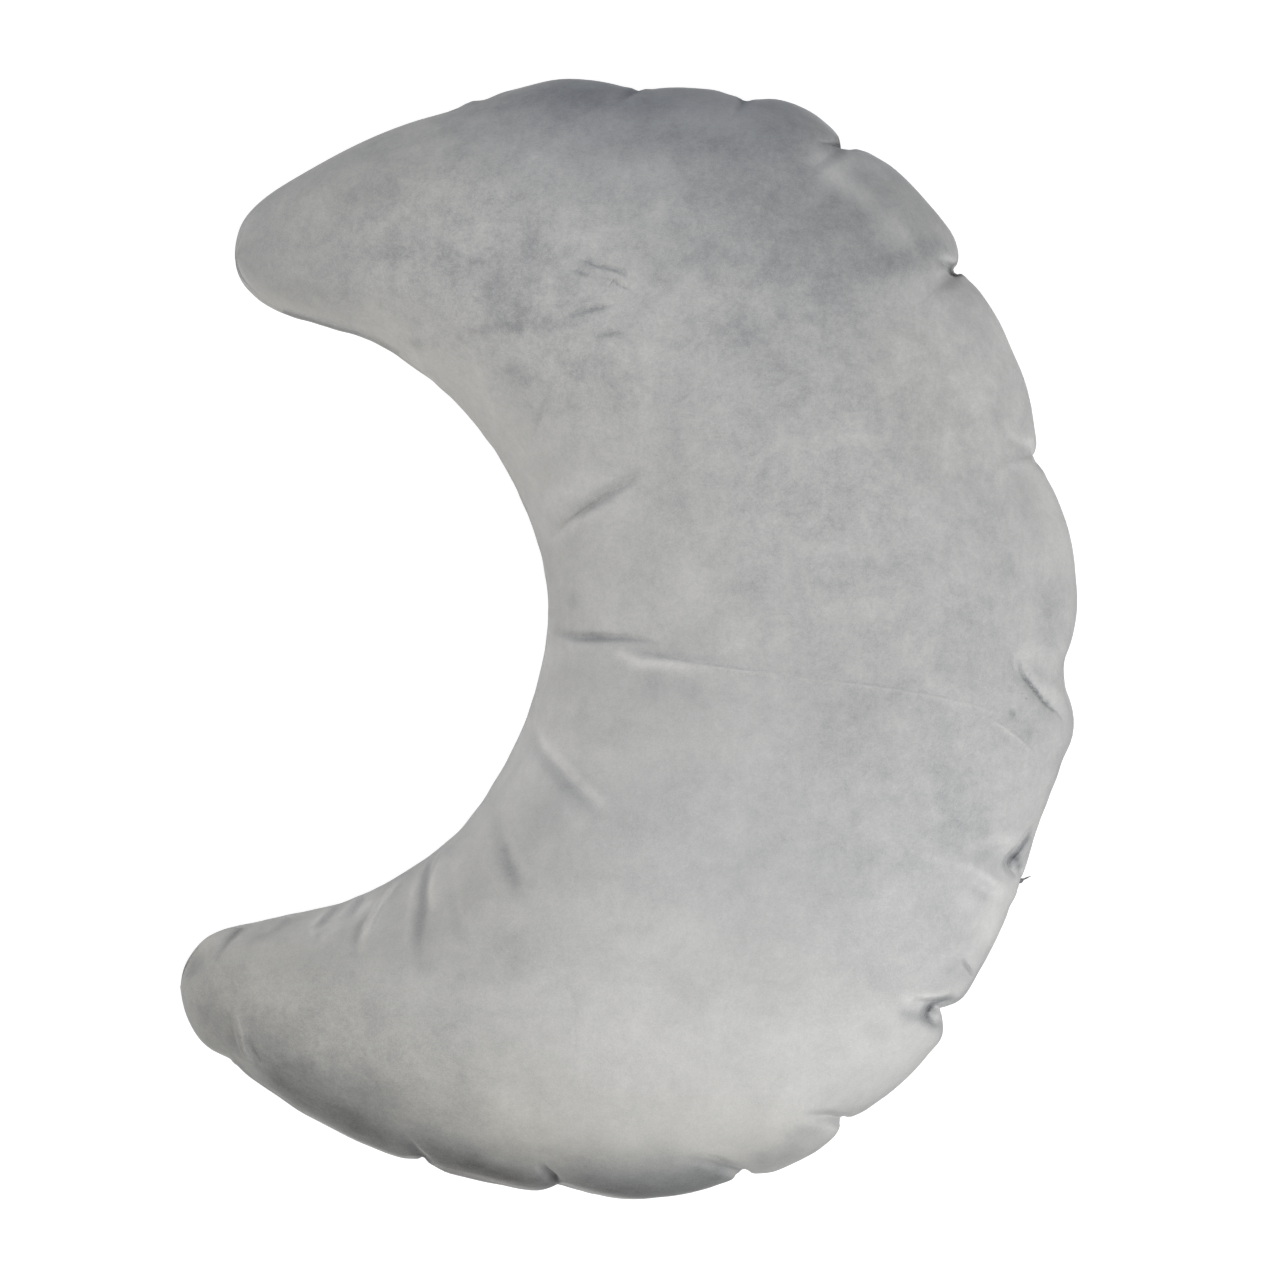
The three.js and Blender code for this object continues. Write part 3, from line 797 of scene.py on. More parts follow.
swell_direction = chance.normal(size=(SWELLS, 3))
swell_direction /= np.linalg.norm(swell_direction, axis=1, keepdims=True)
swell_wave = swell_direction / chance.uniform(SHORTEST_SWELL, LONGEST_SWELL, (SWELLS, 1))
swell_start = chance.uniform(0, 2 * np.pi, SWELLS)
unevenness = np.sin(2 * np.pi * (cover @ swell_wave.T + swell_start)).sum(axis=2) / math.sqrt(SWELLS)
push(UNEVEN_HEIGHT * unevenness * (1 - hill(from_seam, ROLL_REACH)))

# %% The finished cover
velvet_cover = cover_object("velvet_cover", cover, tips)
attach(velvet_cover, "root")
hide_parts("pillow")
print("cover:", len(velvet_cover.data.polygons), "faces")

# %% [markdown]
# ## The thread end
# The opening for the filling was closed by hand, and the last stitch was left with a knot and a short end
# of thread. It is far too small for a cable tool: a little tapered tube along a bent line does it, with a
# knot as its thick end.

# %% Thread
THREAD_LINE = [(153.5, -93.5, 46), (155.8, -96.0, 47), (157.4, -96.9, 47.5), (158.8, -96.4, 47.5),
               (160.3, -95.8, 46.8), (161.8, -95.2, 46)]
THREAD_RADII = [0.6, 1.3, 1.1, 0.4, 0.26, 0.1]
THREAD_SIDES = 10
THREAD_SAMPLES = 40
STRAND_DEPTH = 0.18
STRAND_TWIST = 1.6


def thread_mesh():
    at = np.linspace(0, len(THREAD_LINE) - 1, THREAD_SAMPLES)
    line = curve_through(THREAD_LINE, at)
    radii = np.interp(at, np.arange(len(THREAD_RADII)), THREAD_RADII)
    run = np.gradient(line, axis=0)
    run /= np.linalg.norm(run, axis=1, keepdims=True)
    side = np.cross(run, (0, 0, 1))
    side /= np.linalg.norm(side, axis=1, keepdims=True)
    rise = np.cross(side, run)
    turn = 2 * np.pi * np.arange(THREAD_SIDES) / THREAD_SIDES
    ring = np.cos(turn)[None, :, None] * side[:, None] + np.sin(turn)[None, :, None] * rise[:, None]
    strands = 1 + STRAND_DEPTH * np.cos(2 * (turn[None] + STRAND_TWIST * at[:, None]))
    return line[:, None] + (radii[:, None] * strands)[..., None] * ring, line[[0, -1]]


thread_points, thread_ends = thread_mesh()
thread_end = cover_object("thread_end", thread_points, thread_ends)
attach(thread_end, "root")

# %% [markdown]
# ## The lie of the pile, and painted shade and light
# Velvet has one colour of yarn, but it looks dark where the pile leans towards the eye and light where it
# leans away. A hand that strokes it leaves marks. Each mark here is a soft stroke along a line, and all of
# them together become one number for each point of the mesh, which the material reads as an attribute. Many
# strokes on the face are painted shade and light, not marks: dark along the lower edge, the lower horn and
# the top edge, in the valleys of folds, round the deep pucker and in the closed gap; light along the bay,
# the right-hand edge and the ridges of folds. Each fold also darkens the number by how deep it sinks, and a
# ridge lightens it, as painted shade and light. On the back the strokes are drawn by chance. Two more
# attributes
# are made in the same way: how much of the mottling of crushed pile shows, and how warm or cool the light on
# the cloth is, which is painted light.

# %% marks in the pile and painted shade and light: lighter (+) or darker (-), half width, points x, y
# lighter (+) or darker (-), half width, points x, y
MARKS_AND_PAINTED_SHADE_STROKES = [
    # along the edges: painted shade on the lower edge, the lower horn and the top edge,
    # painted light along the bay and the right-hand edge
    (-0.60, 12, [(-98, -206), (-82, -212), (-60, -217), (-27, -222), (0, -225), (26, -224), (36, -221)]),
    (-0.23, 7, [(-78, -212), (-62, -217), (-45, -221)]),
    (-0.13, 9, [(-80, -199), (-64, -206)]),
    (-0.10, 4, [(-22, -219), (-4, -222)]),
    (-0.12, 5, [(-62, -210), (-50, -214)]),
    (-0.06, 8, [(-12, -203), (12, -205)]),
    (-0.16, 4, [(28, -210), (34, -211)]),
    (0.10, 3, [(44, -214), (49, -212)]),
    (0.05, 8, [(38, -180), (34, -198)]),
    (-0.06, 6, [(-177, -134), (-175, -150)]),
    (-0.15, 11, [(-14, -214), (5, -216), (20, -212)]),
    (-0.20, 5, [(54, -207), (64, -205)]),
    (-0.12, 5, [(66, -196), (74, -193)]),
    (-0.42, 9, [(-142, -182), (-112, -196)]),
    (-0.24, 15, [(-152, -162), (-124, -176), (-106, -184)]),
    (0.10, 8, [(26, -199), (36, -203)]),
    (-0.20, 10, [(-60, 217), (-30, 217), (8, 223), (24, 222)]),
    (0.26, 13, [(-100, 122), (-80, 110), (-60, 93), (-45, 68), (-37, 45)]),
    (0.24, 12, [(-38, -45), (-51, -62), (-67, -82), (-89, -98), (-114, -108), (-148, -115)]),
    (0.24, 20, [(131, 142), (157, 104), (165, 76), (172, 40)]),
    # patches and streaks on the upper half
    (-0.12, 38, [(45, 190), (75, 165), (110, 150)]),
    (-0.10, 24, [(-140, 160), (-100, 156), (-60, 165)]),
    (-0.14, 12, [(-152, 158), (-135, 155), (-114, 150)]),
    (0.12, 5, [(-154, 144), (-140, 134), (-120, 128)]),
    (0.08, 10, [(-90, 197), (-70, 190), (-50, 200)]),
    (0.18, 9, [(25, 210), (45, 206)]),
    (0.10, 4, [(-6, 216), (0, 214)]),
    (0.08, 4, [(14, 190), (14, 165)]),
    (0.05, 5, [(8, 190), (8, 150)]),
    (0.08, 6, [(-76, 205), (-76, 165)]),
    (0.07, 9, [(-42, 190), (-10, 182)]),
    (-0.05, 5, [(-10, 209), (18, 209)]),
    (0.06, 6, [(5, 182), (50, 182)]),
    (-0.04, 7, [(25, 196), (60, 194)]),
    (-0.05, 14, [(-145, 168), (-100, 172)]),
    (-0.05, 15, [(-75, 135), (-46, 150)]),
    (0.04, 9, [(-22, 128), (0, 120)]),
    (-0.05, 5, [(-38, 160), (-40, 128)]),
    (-0.04, 8, [(-18, 86), (8, 76)]),
    (-0.08, 5, [(115, 156), (127, 154)]),
    (0.07, 6, [(96, 135), (98, 118)]),
    (0.05, 9, [(108, 138), (118, 126)]),
    (0.04, 16, [(115, 85), (145, 70)]),
    (0.20, 7, [(90, 193), (104, 187), (116, 175), (127, 160)]),
    (-0.10, 4, [(-42, 145), (-36, 143)]),
    (-0.10, 6, [(-45, 105), (-37, 101)]),
    # painted shade in a crease and along the seam where it rolls up onto the face
    (-0.12, 3.5, [(-84, 118), (-78, 118)]),
    (-0.12, 2.5, [(-88, 118.5), (-84, 117.5)]),
    (-0.40, 1.2, [(-139, 131.8), (-122, 126.6), (-104, 121), (-93, 115)]),
    (0.08, 4, [(-17, 137), (-14, 133)]),
    (0.08, 4, [(-64, 207), (-54, 207)]),
    (-0.05, 20, [(30, 150), (80, 140)]),
    (-0.04, 20, [(0, 95), (30, 60)]),
    (0.13, 4, [(137, 143), (148, 127), (158, 105)]),
    (0.15, 7, [(174, 48), (178, 20), (174, -4)]),
    (0.08, 5, [(-34, 30), (-34, -30)]),
    (0.06, 12, [(110, 128), (104, 96)]),
    (0.06, 6, [(87, 78), (87, 60)]),
    (-0.14, 5, [(100, 146), (112, 152), (125, 156)]),
    (0.10, 12, [(104, 122), (130, 108)]),
    (0.12, 6, [(142, 134), (149, 120)]),
    (0.24, 5, [(164, 66), (168, 54)]),
    (0.08, 12, [(112, 38), (128, 34)]),
    (-0.18, 9, [(-52, 132), (-40, 126)]),
    (-0.08, 10, [(-92, 150), (-62, 146)]),
    (-0.10, 8, [(-108, 174), (-96, 178)]),
    (-0.05, 26, [(40, 60), (70, 45)]),
    (0.09, 11, [(132, 95), (128, 55)]),
    (-0.12, 11, [(-20, 128), (-22, 108), (-2, 101)]),
    (-0.10, 9, [(42, 124), (58, 108)]),
    (-0.08, 10, [(20, 85), (15, 52), (8, 28)]),
    (0.06, 8, [(70, 36), (98, 34)]),
    # patches and streaks on the lower half
    (-0.09, 12, [(80, -18), (92, -42)]),
    (-0.10, 6, [(168, 14), (170, 2)]),
    (-0.10, 6, [(138, -72), (142, -76)]),
    (0.14, 6, [(150, -97), (146, -118)]),
    (0.14, 32, [(0, -160), (50, -172), (90, -165)]),
    (0.12, 12, [(-48, -182), (-20, -196), (20, -200), (60, -196)]),
    (0.10, 30, [(-30, -100), (10, -110)]),
    (-0.12, 30, [(-168, -141), (-125, -155), (-76, -166)]),
    (-0.07, 6, [(-46, -120), (-40, -126)]),
    (-0.10, 3, [(-49.5, -84), (-46, -93)]),
    (-0.12, 9, [(-173, -134), (-166, -142)]),
    (-0.08, 14, [(-124, -148), (-106, -150)]),
    (0.08, 8, [(-100, -116), (-86, -118)]),
    (0.08, 9, [(-22, -42), (0, -48)]),
    (0.08, 5, [(-24, -66), (-20, -74)]),
    (-0.10, 5, [(124, -64), (126, -72)]),
    (-0.09, 4, [(66, -198), (74, -195)]),
    (-0.06, 6, [(20, -136), (25, -140)]),
    (-0.05, 14, [(-25, -98), (0, -95)]),
    (-0.04, 24, [(-38, -125), (0, -132)]),
    (0.05, 10, [(100, -178), (120, -162)]),
    (0.14, 6, [(168, -22), (174, -35)]),
    (0.07, 7, [(158, 4), (160, -6)]),
    (0.07, 5, [(146, -28), (156, -22)]),
    (0.12, 4, [(169, -58), (162, -75)]),
    (0.09, 6, [(137, -104), (144, -118)]),
    (-0.08, 4, [(130, -131), (135, -134)]),
    (-0.05, 14, [(120, -50), (128, -74)]),
    # mostly painted light along the ridges of folds and painted shade in them, at the right-hand pucker and
    # the closed gap
    (0.09, 3, [(115, -85), (135, -89), (148, -94)]),
    (0.14, 3.5, [(147, -77), (154, -81)]),
    (0.10, 7, [(149, -102), (136, -134)]),
    (0.13, 4, [(169, -10), (172.5, -20), (175, -28)]),
    (0.10, 2.5, [(156, -24.5), (161, -27)]),
    (-0.25, 1.0, [*RIGHT_FOLD[:3], (168, -27.6)]),
    (-0.05, 4, [(157, -34), (163, -38)]),
    # the deep pucker: painted shade round the bump, painted light on the ridge over it
    (-0.07, 5, [(98, -135), (126, -135)]),
    (0.10, 2.4, [(110, -142.5), (119.7, -140.8), (130, -141)]),
    (-0.18, 1.7, [(130, -143.7), (127, -143.3), (123.3, -144.2), (120, -146)]),
    (-0.16, 1.7, [(120, -146), (118.4, -148), (119.3, -151), (122, -153.6), (124.5, -154.8)]),
    (0.16, 1.4, [(123.4, -148.4), (124, -151)]),
    (-0.20, 2.4, [(109, -148), (117, -150.5)]),
    (-0.08, 3, [(95, -153), (99, -155)]),
    # the folds in the bay: painted shade in the valleys, painted light along the ridges beside them
    (0.06, 5, [(-28, 54), (-18, 60)]),
    (0.18, 2.5, [(-3, -5.6), (4.5, -9.2), (12, -9.8), (22, -10.4)]),
    (-0.12, 1.9, [(-29, 2.6), (-20, 0.8), (-10, 0.8)]),
    (0.05, 5, [(-30, -5), (-18, -6)]),
    (0.06, 6, [(-30, -24), (-20, -24)]),
    (0.05, 4, [(32, -16), (34, -26)]),
    (0.04, 14, [(5, -68), (50, -66)]),
    (-0.06, 6, [(10, -18.5), (22, -21)]),
    (-0.07, 3.0, [(-38.5, -38), (-35, -46), (-30, -53), (-23, -60.5), (-15.5, -67.5)]),
    (0.08, 1.7, [(-36.5, -34), (-33, -42.5), (-27, -48.5), (-21, -55)]),
    (0.10, 2.6, [(-15, -60.5), (-10, -64.5)]),
    (-0.07, 3, [(-53, -66), (-50, -76)]),
    (-0.09, 2.6, [(-48.5, -82), (-44, -96)]),
    (-0.06, 6, [(-50, -84), (-44, -96)]),
    # the folds at the lower horn: painted light along the ridges, painted shade in the valleys
    (0.13, 8, [(-166, -121), (-142, -117), (-106, -111)]),
    (-0.07, 2.6, [(-81, -104), (-83, -112), (-81.5, -122)]),
    (0.09, 2.0, [(-79, -90), (-83, -101), (-86.5, -112), (-88, -120)]),
    (0.06, 1.8, [(-73.5, -88), (-76.5, -98), (-77.5, -106)]),
    (0.06, 5, [(-72, -86), (-72, -108)]),
    (0.09, 3.5, [(-124, -110), (-104, -106)]),
    (0.05, 6, [(-130, -122), (-100, -128)]),
    (0.08, 4, [(-172, -120), (-152, -114)]),
    (-0.07, 6, [(-158, -136), (-146, -136)]),
    (-0.08, 4, [(-156, -142), (-155, -152)]),
    (0.06, 1.6, HORN_RIDGE[1:4]),
    (0.15, 1.4, [(-104.5, -106), (-111, -111), (-117, -115.6), (-121.8, -119.5)]),
    (-0.10, 1.4, [(-107, -105), (-113.5, -110.3), (-119.5, -114.5), (-124, -118.5)]),
    (0.15, 1.3, [(-110.5, -106.5), (-118.6, -112.9), (-126.3, -117.6)]),
    (-0.08, 1.3, [(-114, -105.5), (-121, -112), (-128, -116.5)]),
    (0.10, 1.3, [(-118, -106.5), (-124.8, -112.4), (-130, -116)]),
    (0.12, 1.4, [(-130.3, -109), (-138.7, -113), (-144.8, -117)]),
    (-0.10, 1.6, [(-133, -113), (-140, -116.5), (-147, -120.5)]),
    # smudges of painted shade along the creases of the upper horn, and painted light on two ridges
    (-0.14, 2.8, [(-60.5, 121.5), (-57, 122)]),
    (-0.12, 2.6, [(-51, 123), (-43, 123.5)]),
    (-0.08, 2.6, [(-33.5, 124.5), (-28.7, 124)]),
    (-0.07, 5, [(-54, 146), (-53, 126)]),
    (-0.12, 2.2, [(-32, 154), (-28, 151.5)]),
    (0.07, 2.2, [(-26, 148.5), (-22, 147.5)]),
    (-0.12, 1.8, [(-15.5, 148.8), (-13.5, 146.5)]),
    (-0.07, 2.0, [(-10, 119.5), (-3, 120.5)]),
    (-0.10, 3.2, [(-45, 107), (-42, 102)]),
    (0.07, 2.4, [(-31, 107), (-31.5, 98)]),
    # light patches along the upper right edge, on a dark ground
    (0.28, 5.0, [(76, 189), (80, 184)]),
    (0.20, 4.5, [(91, 193), (99, 189)]),
    (-0.14, 2.4, [(83, 194.5), (86, 195)]),
    (0.38, 4.2, [(85, 180.5), (94, 174)]),
    (0.20, 6.5, [(103, 168), (110, 160)]),
    (0.12, 3.4, [(111, 156), (114, 153)]),
    (-0.08, 5, [(118, 165), (123, 156)]),
    # painted shade in the gap where the seam was closed by hand
    (-0.14, 1.3, [(160.5, -79), (157, -84), (155, -88)]),
    (-0.40, 1.4, [(151.5, -88), (153, -88.6)]),
    (-0.45, 1.7, [(154.6, -88.6), (156, -91)]),
    # small flecks
    (-0.10, 2.2, [(-22, 17), (-22, 14)]),
    (-0.08, 2.2, [(-2, 17), (-1, 14)]),
    (-0.07, 3.0, [(10, -14), (9, -22)]),
    (-0.08, 2.6, [(-18, -25), (-18, -30)]),
    (-0.10, 3.0, [(-84, -110), (-82.5, -116)]),
    (-0.10, 3.5, [(-171, -150), (-168, -156)]),
]

# Where the pile is crushed, it shows more of its mottling: strength, half width, points x, y
CRUSHED_EVERYWHERE = 0.5
CRUSHED_PATCHES = [
    (0.45, 75, [(-60, 170), (20, 150), (110, 110)]),
    (0.22, 30, [(-90, 165), (-50, 150), (-25, 120)]),
    (-0.20, 28, [(-150, 150), (-110, 165)]),
    (0.30, 55, [(70, 30), (140, 0), (110, -60)]),
    (0.15, 26, [(-170, -150), (-120, -165), (-70, -178)]),
]


def stroked(strokes):
    """All the strokes together, at every point of the net."""
    total = np.zeros(cover.shape[:2])
    for shade, half_width, points in strokes:
        line = line_through(points)
        near = near_line(line, 3 * half_width)
        total[near] += shade * hill(distance_to(line, cover[..., :2][near])[0], half_width)
    return total


BACK_STROKES = 36
BACK_CORNERS = ((-150, -200), (170, 200))
BACK_RUN = 45
BACK_SHADES = (-0.25, 0.2)
BACK_HALF_WIDTHS = (8, 26)


def chance_stroke():
    """A short stroke of chance place, direction and strength on the back."""
    start = chance.uniform(*BACK_CORNERS)
    run = chance.uniform(-BACK_RUN, BACK_RUN, 2)
    return chance.uniform(*BACK_SHADES), chance.uniform(*BACK_HALF_WIDTHS), [start, start + run]


# Where the light is a little warmer (+) or cooler (-) than elsewhere: strength, half width, points x, y
WARM_LIGHT = [
    (0.024, 34, [(-150, -150), (-105, -178), (-60, -200)]),
    (0.016, 26, [(-30, -208), (60, -208)]),
    (0.014, 26, [(-170, -125), (-110, -118), (-60, -100)]),
    (0.020, 30, [(-130, 180), (-90, 196)]),
    (-0.022, 24, [(-10, 218), (50, 212)]),
    (-0.008, 50, [(40, -80), (100, -90)]),
    (0.008, 20, [(105, 112), (120, 80)]),
]
# painted shade: the colour darkens in each fold by this much for each millimetre it sinks, and lightens on a
# ridge
PAINTED_FOLD_SHADE = 0.04  # for each millimetre that a fold sinks
TURN_OVER = 0.6  # how gradually the marks of the face give way to those of the back

on_top = (outwards()[..., 2] / TURN_OVER + 0.5).clip(0, 1)
back_strokes = [chance_stroke() for _ in range(BACK_STROKES)]
# marks in the pile together with painted shade and light, then the painted shade of the folds
marks_and_painted_shade = on_top * stroked(MARKS_AND_PAINTED_SHADE_STROKES) + (1 - on_top) * stroked(back_strokes)
marks_and_painted_shade -= PAINTED_FOLD_SHADE * sunk_in_folds
crushed = CRUSHED_EVERYWHERE + on_top * stroked(CRUSHED_PATCHES)


def as_attribute(name, values, kind="FLOAT", field="value"):
    """Gives each point of the cover a number. The two tips take the mean of the ring beside them."""
    rows = values.reshape(len(values), cover.shape[1], -1)
    rows = np.concatenate([rows.reshape(-1, rows.shape[2]), rows[:1].mean(axis=1), rows[-1:].mean(axis=1)])
    carried = velvet_cover.data.attributes.new(name, kind, "POINT")
    carried.data.foreach_set(field, rows.astype(np.float32).ravel())
    print(name, rows.min().round(2), "to", rows.max().round(2))


as_attribute("marks_and_painted_shade", marks_and_painted_shade)
as_attribute("crushed", crushed)
as_attribute("warmth", on_top * stroked(WARM_LIGHT))
for number, layer in enumerate(crease_layers):
    as_attribute(f"crease_{number}", layer, "FLOAT_VECTOR", "vector")

# %% [markdown]
# ## Node groups
# Both materials need the same fine grain of fibres, so it is a group, made once. A second group works out
# how light the pile looks. The pile is laid across the pillow, and the group paints shade and light by the
# way the cloth faces along that line, darker where it turns away, which stands in for the sheen of the pile;
# it adds the mottling, the grain, and the marks and painted shade of the strokes. A third one turns the
# numbers of a fine crease into its depth.

# %% Helpers for nodes
def preset(node, plain_values):
    """Sets plain values on the sockets of a node, by the socket's name or number."""
    for entry, value in plain_values.items():
        node.inputs[entry].default_value = value


def add(tree, kind, plain_values=None, **settings):
    """A new node with its settings, and with plain values on some of its sockets."""
    node = tree.nodes.new(kind)
    for name, value in settings.items():
        setattr(node, name, value)
    preset(node, plain_values or {})
    return node


def link(tree, source, node, entry):
    """Joins a source, which is a (node, output) pair, to a socket of a node."""
    from_node, output = source
    tree.links.new(from_node.outputs[output], node.inputs[entry])


def arithmetic(tree, operation, first, second):
    """The result of a Math node, as a (node, output) pair. The two values may be numbers or such pairs."""
    node = add(tree, "ShaderNodeMath", operation=operation)
    for entry, value in enumerate((first, second)):
        if isinstance(value, tuple):
            link(tree, value, node, entry)
        else:
            preset(node, {entry: value})
    return node, 0


def swing(tree, noise, strength):
    """A noise made to swing round 0 instead of 0.5, times its strength."""
    return arithmetic(tree, "MULTIPLY", arithmetic(tree, "SUBTRACT", noise, 0.5), strength)


def new_group(name, takes, gives):
    """A shader node group. It takes (name, kind, default) sockets and gives numbers under the names."""
    group = bpy.data.node_groups.new(name, "ShaderNodeTree")
    for socket_name, kind, default in takes:
        group.interface.new_socket(socket_name, in_out="INPUT", socket_type=kind).default_value = default
    for socket_name in gives:
        group.interface.new_socket(socket_name, in_out="OUTPUT", socket_type="NodeSocketFloat")
    return group, group.nodes.new("NodeGroupInput"), group.nodes.new("NodeGroupOutput")


# %% Group: fibre grain
LARGEST_BLOTCH = 16.0

fibre_grain, takes, gives = new_group(
    "fibre_grain",
    [("Place", "NodeSocketVector", (0, 0, 0)), ("Fibre size mm", "NodeSocketFloat", 0.55)],
    ["Grain", "Mottle"],
)


def noise_at(size, detail, roughness, distortion):
    """Noise of a size in millimetres: a number, or a (node, output) pair."""
    look = {"Detail": detail, "Roughness": roughness, "Distortion": distortion}
    noise = add(fibre_grain, "ShaderNodeTexNoise", look)
    link(fibre_grain, (takes, "Place"), noise, "Vector")
    link(fibre_grain, arithmetic(fibre_grain, "DIVIDE", 1000.0, size), noise, "Scale")
    return noise, 0


link(fibre_grain, noise_at((takes, "Fibre size mm"), 2.0, 0.6, 0.0), gives, "Grain")
link(fibre_grain, noise_at(LARGEST_BLOTCH, 5.0, 0.92, 0.12), gives, "Mottle")

# %% Group: pile tone, with painted shade and light by facing
pile_tone_and_painted_shade, takes, gives = new_group(
    "pile_tone_and_painted_shade",
    [("Facing", "NodeSocketVector", (0, 0, 1)), ("Marks and painted shade", "NodeSocketFloat", 0.0),
     ("Mottle", "NodeSocketFloat", 0.5), ("Grain", "NodeSocketFloat", 0.5),
     ("Mottle strength", "NodeSocketFloat", 0.1), ("Grain strength", "NodeSocketFloat", 0.1)],
    ["Shade"],
)
PILE_LAID = (-0.35, -0.94, 0.0)
# painted shade and light by facing: which way the cloth faces along the line of the pile (-1 to 1), how
# light it looks
PAINTED_FACING_SHADE = [(-1.0, 0.95), (-0.6, 0.92), (-0.3, 0.92), (0.0, 1.0), (0.2, 1.06), (0.4, 1.0), (0.6, 0.9),
             (1.0, 0.95)]
along_pile = add(pile_tone_and_painted_shade, "ShaderNodeVectorMath", {1: PILE_LAID}, operation="DOT_PRODUCT")
link(pile_tone_and_painted_shade, (takes, "Facing"), along_pile, 0)
curve = add(pile_tone_and_painted_shade, "ShaderNodeFloatCurve")
curve.mapping.clip_min_x, curve.mapping.clip_max_x = -1.0, 1.0
curve.mapping.clip_min_y, curve.mapping.clip_max_y = 0.0, 2.0
stops = curve.mapping.curves[0].points
stops[0].location, stops[-1].location = PAINTED_FACING_SHADE[0], PAINTED_FACING_SHADE[-1]
for facing, shade in PAINTED_FACING_SHADE[1:-1]:
    stops.new(facing, shade)
curve.mapping.update()
link(pile_tone_and_painted_shade, (along_pile, "Value"), curve, "Value")
mottle = swing(pile_tone_and_painted_shade, (takes, "Mottle"), (takes, "Mottle strength"))
grain = swing(pile_tone_and_painted_shade, (takes, "Grain"), (takes, "Grain strength"))
marks = arithmetic(pile_tone_and_painted_shade, "ADD", arithmetic(pile_tone_and_painted_shade, "ADD", mottle, grain), (takes, "Marks and painted shade"))
shade = arithmetic(pile_tone_and_painted_shade, "MULTIPLY", (curve, 0), arithmetic(pile_tone_and_painted_shade, "ADD", marks, 1.0))
link(pile_tone_and_painted_shade, shade, gives, "Shade")

# %% Group: fine crease
WANDER = 2.5  # how far the pile makes a crease wander, in millimetres for a full swing of the mottling
fine_crease, takes, gives = new_group(
    "fine_crease",
    [("Crease", "NodeSocketVector", (FAR_AWAY, 0, 1)), ("Mottle", "NodeSocketFloat", 0.5)],
    ["Depth"],
)
crease = add(fine_crease, "ShaderNodeSeparateXYZ")
link(fine_crease, (takes, "Crease"), crease, "Vector")
distance = arithmetic(fine_crease, "ADD", (crease, "X"), swing(fine_crease, (takes, "Mottle"), WANDER))
across = arithmetic(fine_crease, "DIVIDE", distance, (crease, "Z"))
squared = arithmetic(fine_crease, "MULTIPLY", across, across)
bell = arithmetic(fine_crease, "EXPONENT", arithmetic(fine_crease, "MULTIPLY", squared, -1.0), 0.0)
link(fine_crease, arithmetic(fine_crease, "MULTIPLY", bell, (crease, "Y")), gives, "Depth")

# %% [markdown]
# ## Velvet
# The shade, which holds the painted shade and light of the strokes, the folds and the way the cloth faces,
# picks a colour between a cool dark grey, seen into the pile, and a warmer light grey, seen along it. The
# fine creases dent the cloth, and their depth darkens it as painted shade. The painted warm and cool light
# tints the colour. A little sheen brightens it where it turns away from the eye, and the strength of that is
# set on the shader itself.

# %% Helpers for materials
def surface(name):
    """A new material, its node tree and its shader."""
    material = bpy.data.materials.new(name)
    material.use_nodes = True
    return material, material.node_tree, material.node_tree.nodes["Principled BSDF"]


def fibres_in(tree, plain_values=None):
    """The fibre grain in a material, fixed to the piece itself."""
    node = add(tree, "ShaderNodeGroup", plain_values, node_tree=fibre_grain)
    link(tree, (add(tree, "ShaderNodeTexCoord"), "Object"), node, "Place")
    return node


def colour_ramp(tree, source, colours):
    """The source turned into a colour. Each row is a place from 0 to 1 and its colour, the ends included."""
    node = add(tree, "ShaderNodeValToRGB")
    stops = node.color_ramp.elements
    for place, _ in colours[1:-1]:
        stops.new(place)
    for stop, (_, colour) in zip(stops, colours):
        stop.color = (*colour, 1)
    link(tree, source, node, 0)
    return node, "Color"


# %% Velvet material
# painted shade: the fine creases and the seam line darken the colour by this much, and a fine ridge lightens
# it
PAINTED_CREASE_SHADE = 0.2  # for each millimetre of depth
FINE_CREASE_RELIEF = 0.7
FIBRE_HEIGHT = 0.1
GRAIN_STRENGTH = 0.36
VELVET_COLOURS = [
    (0.0, (0.0, 0.0, 0.0)),
    (0.3, (0.241, 0.248, 0.257)),
    (0.5, (0.419, 0.419, 0.417)),
    (1.0, (0.845, 0.835, 0.82)),
]
WARM_TINT = {"X": 1.0, "Y": 0.5, "Z": -1.0}  # what warm light adds to red, green and blue

velvet, tree, cloth_shader = surface("grey_velvet")


def carried_by_points(name, output="Fac"):
    """An attribute of the cover, as the velvet reads it."""
    return add(tree, "ShaderNodeAttribute", attribute_name=name), output


grain_node = fibres_in(tree)
crease_depth = 0.0
for number in range(len(crease_layers)):
    crease_node = add(tree, "ShaderNodeGroup", node_tree=fine_crease)
    link(tree, carried_by_points(f"crease_{number}", "Vector"), crease_node, "Crease")
    link(tree, (grain_node, "Mottle"), crease_node, "Mottle")
    crease_depth = arithmetic(tree, "ADD", crease_depth, (crease_node, "Depth"))

shade_node = add(tree, "ShaderNodeGroup", {"Grain strength": GRAIN_STRENGTH}, node_tree=pile_tone_and_painted_shade)
# painted shade in the fine creases and the seam line, painted light on the fine ridges
shade_painted_in_creases = arithmetic(tree, "MULTIPLY", crease_depth, PAINTED_CREASE_SHADE)
link(tree, (add(tree, "ShaderNodeTexCoord"), "Normal"), shade_node, "Facing")
link(tree, arithmetic(tree, "SUBTRACT", carried_by_points("marks_and_painted_shade"), shade_painted_in_creases), shade_node, "Marks and painted shade")
link(tree, carried_by_points("crushed"), shade_node, "Mottle strength")
for noise in ("Mottle", "Grain"):
    link(tree, (grain_node, noise), shade_node, noise)
half_shade = arithmetic(tree, "MULTIPLY", (shade_node, "Shade"), 0.5)

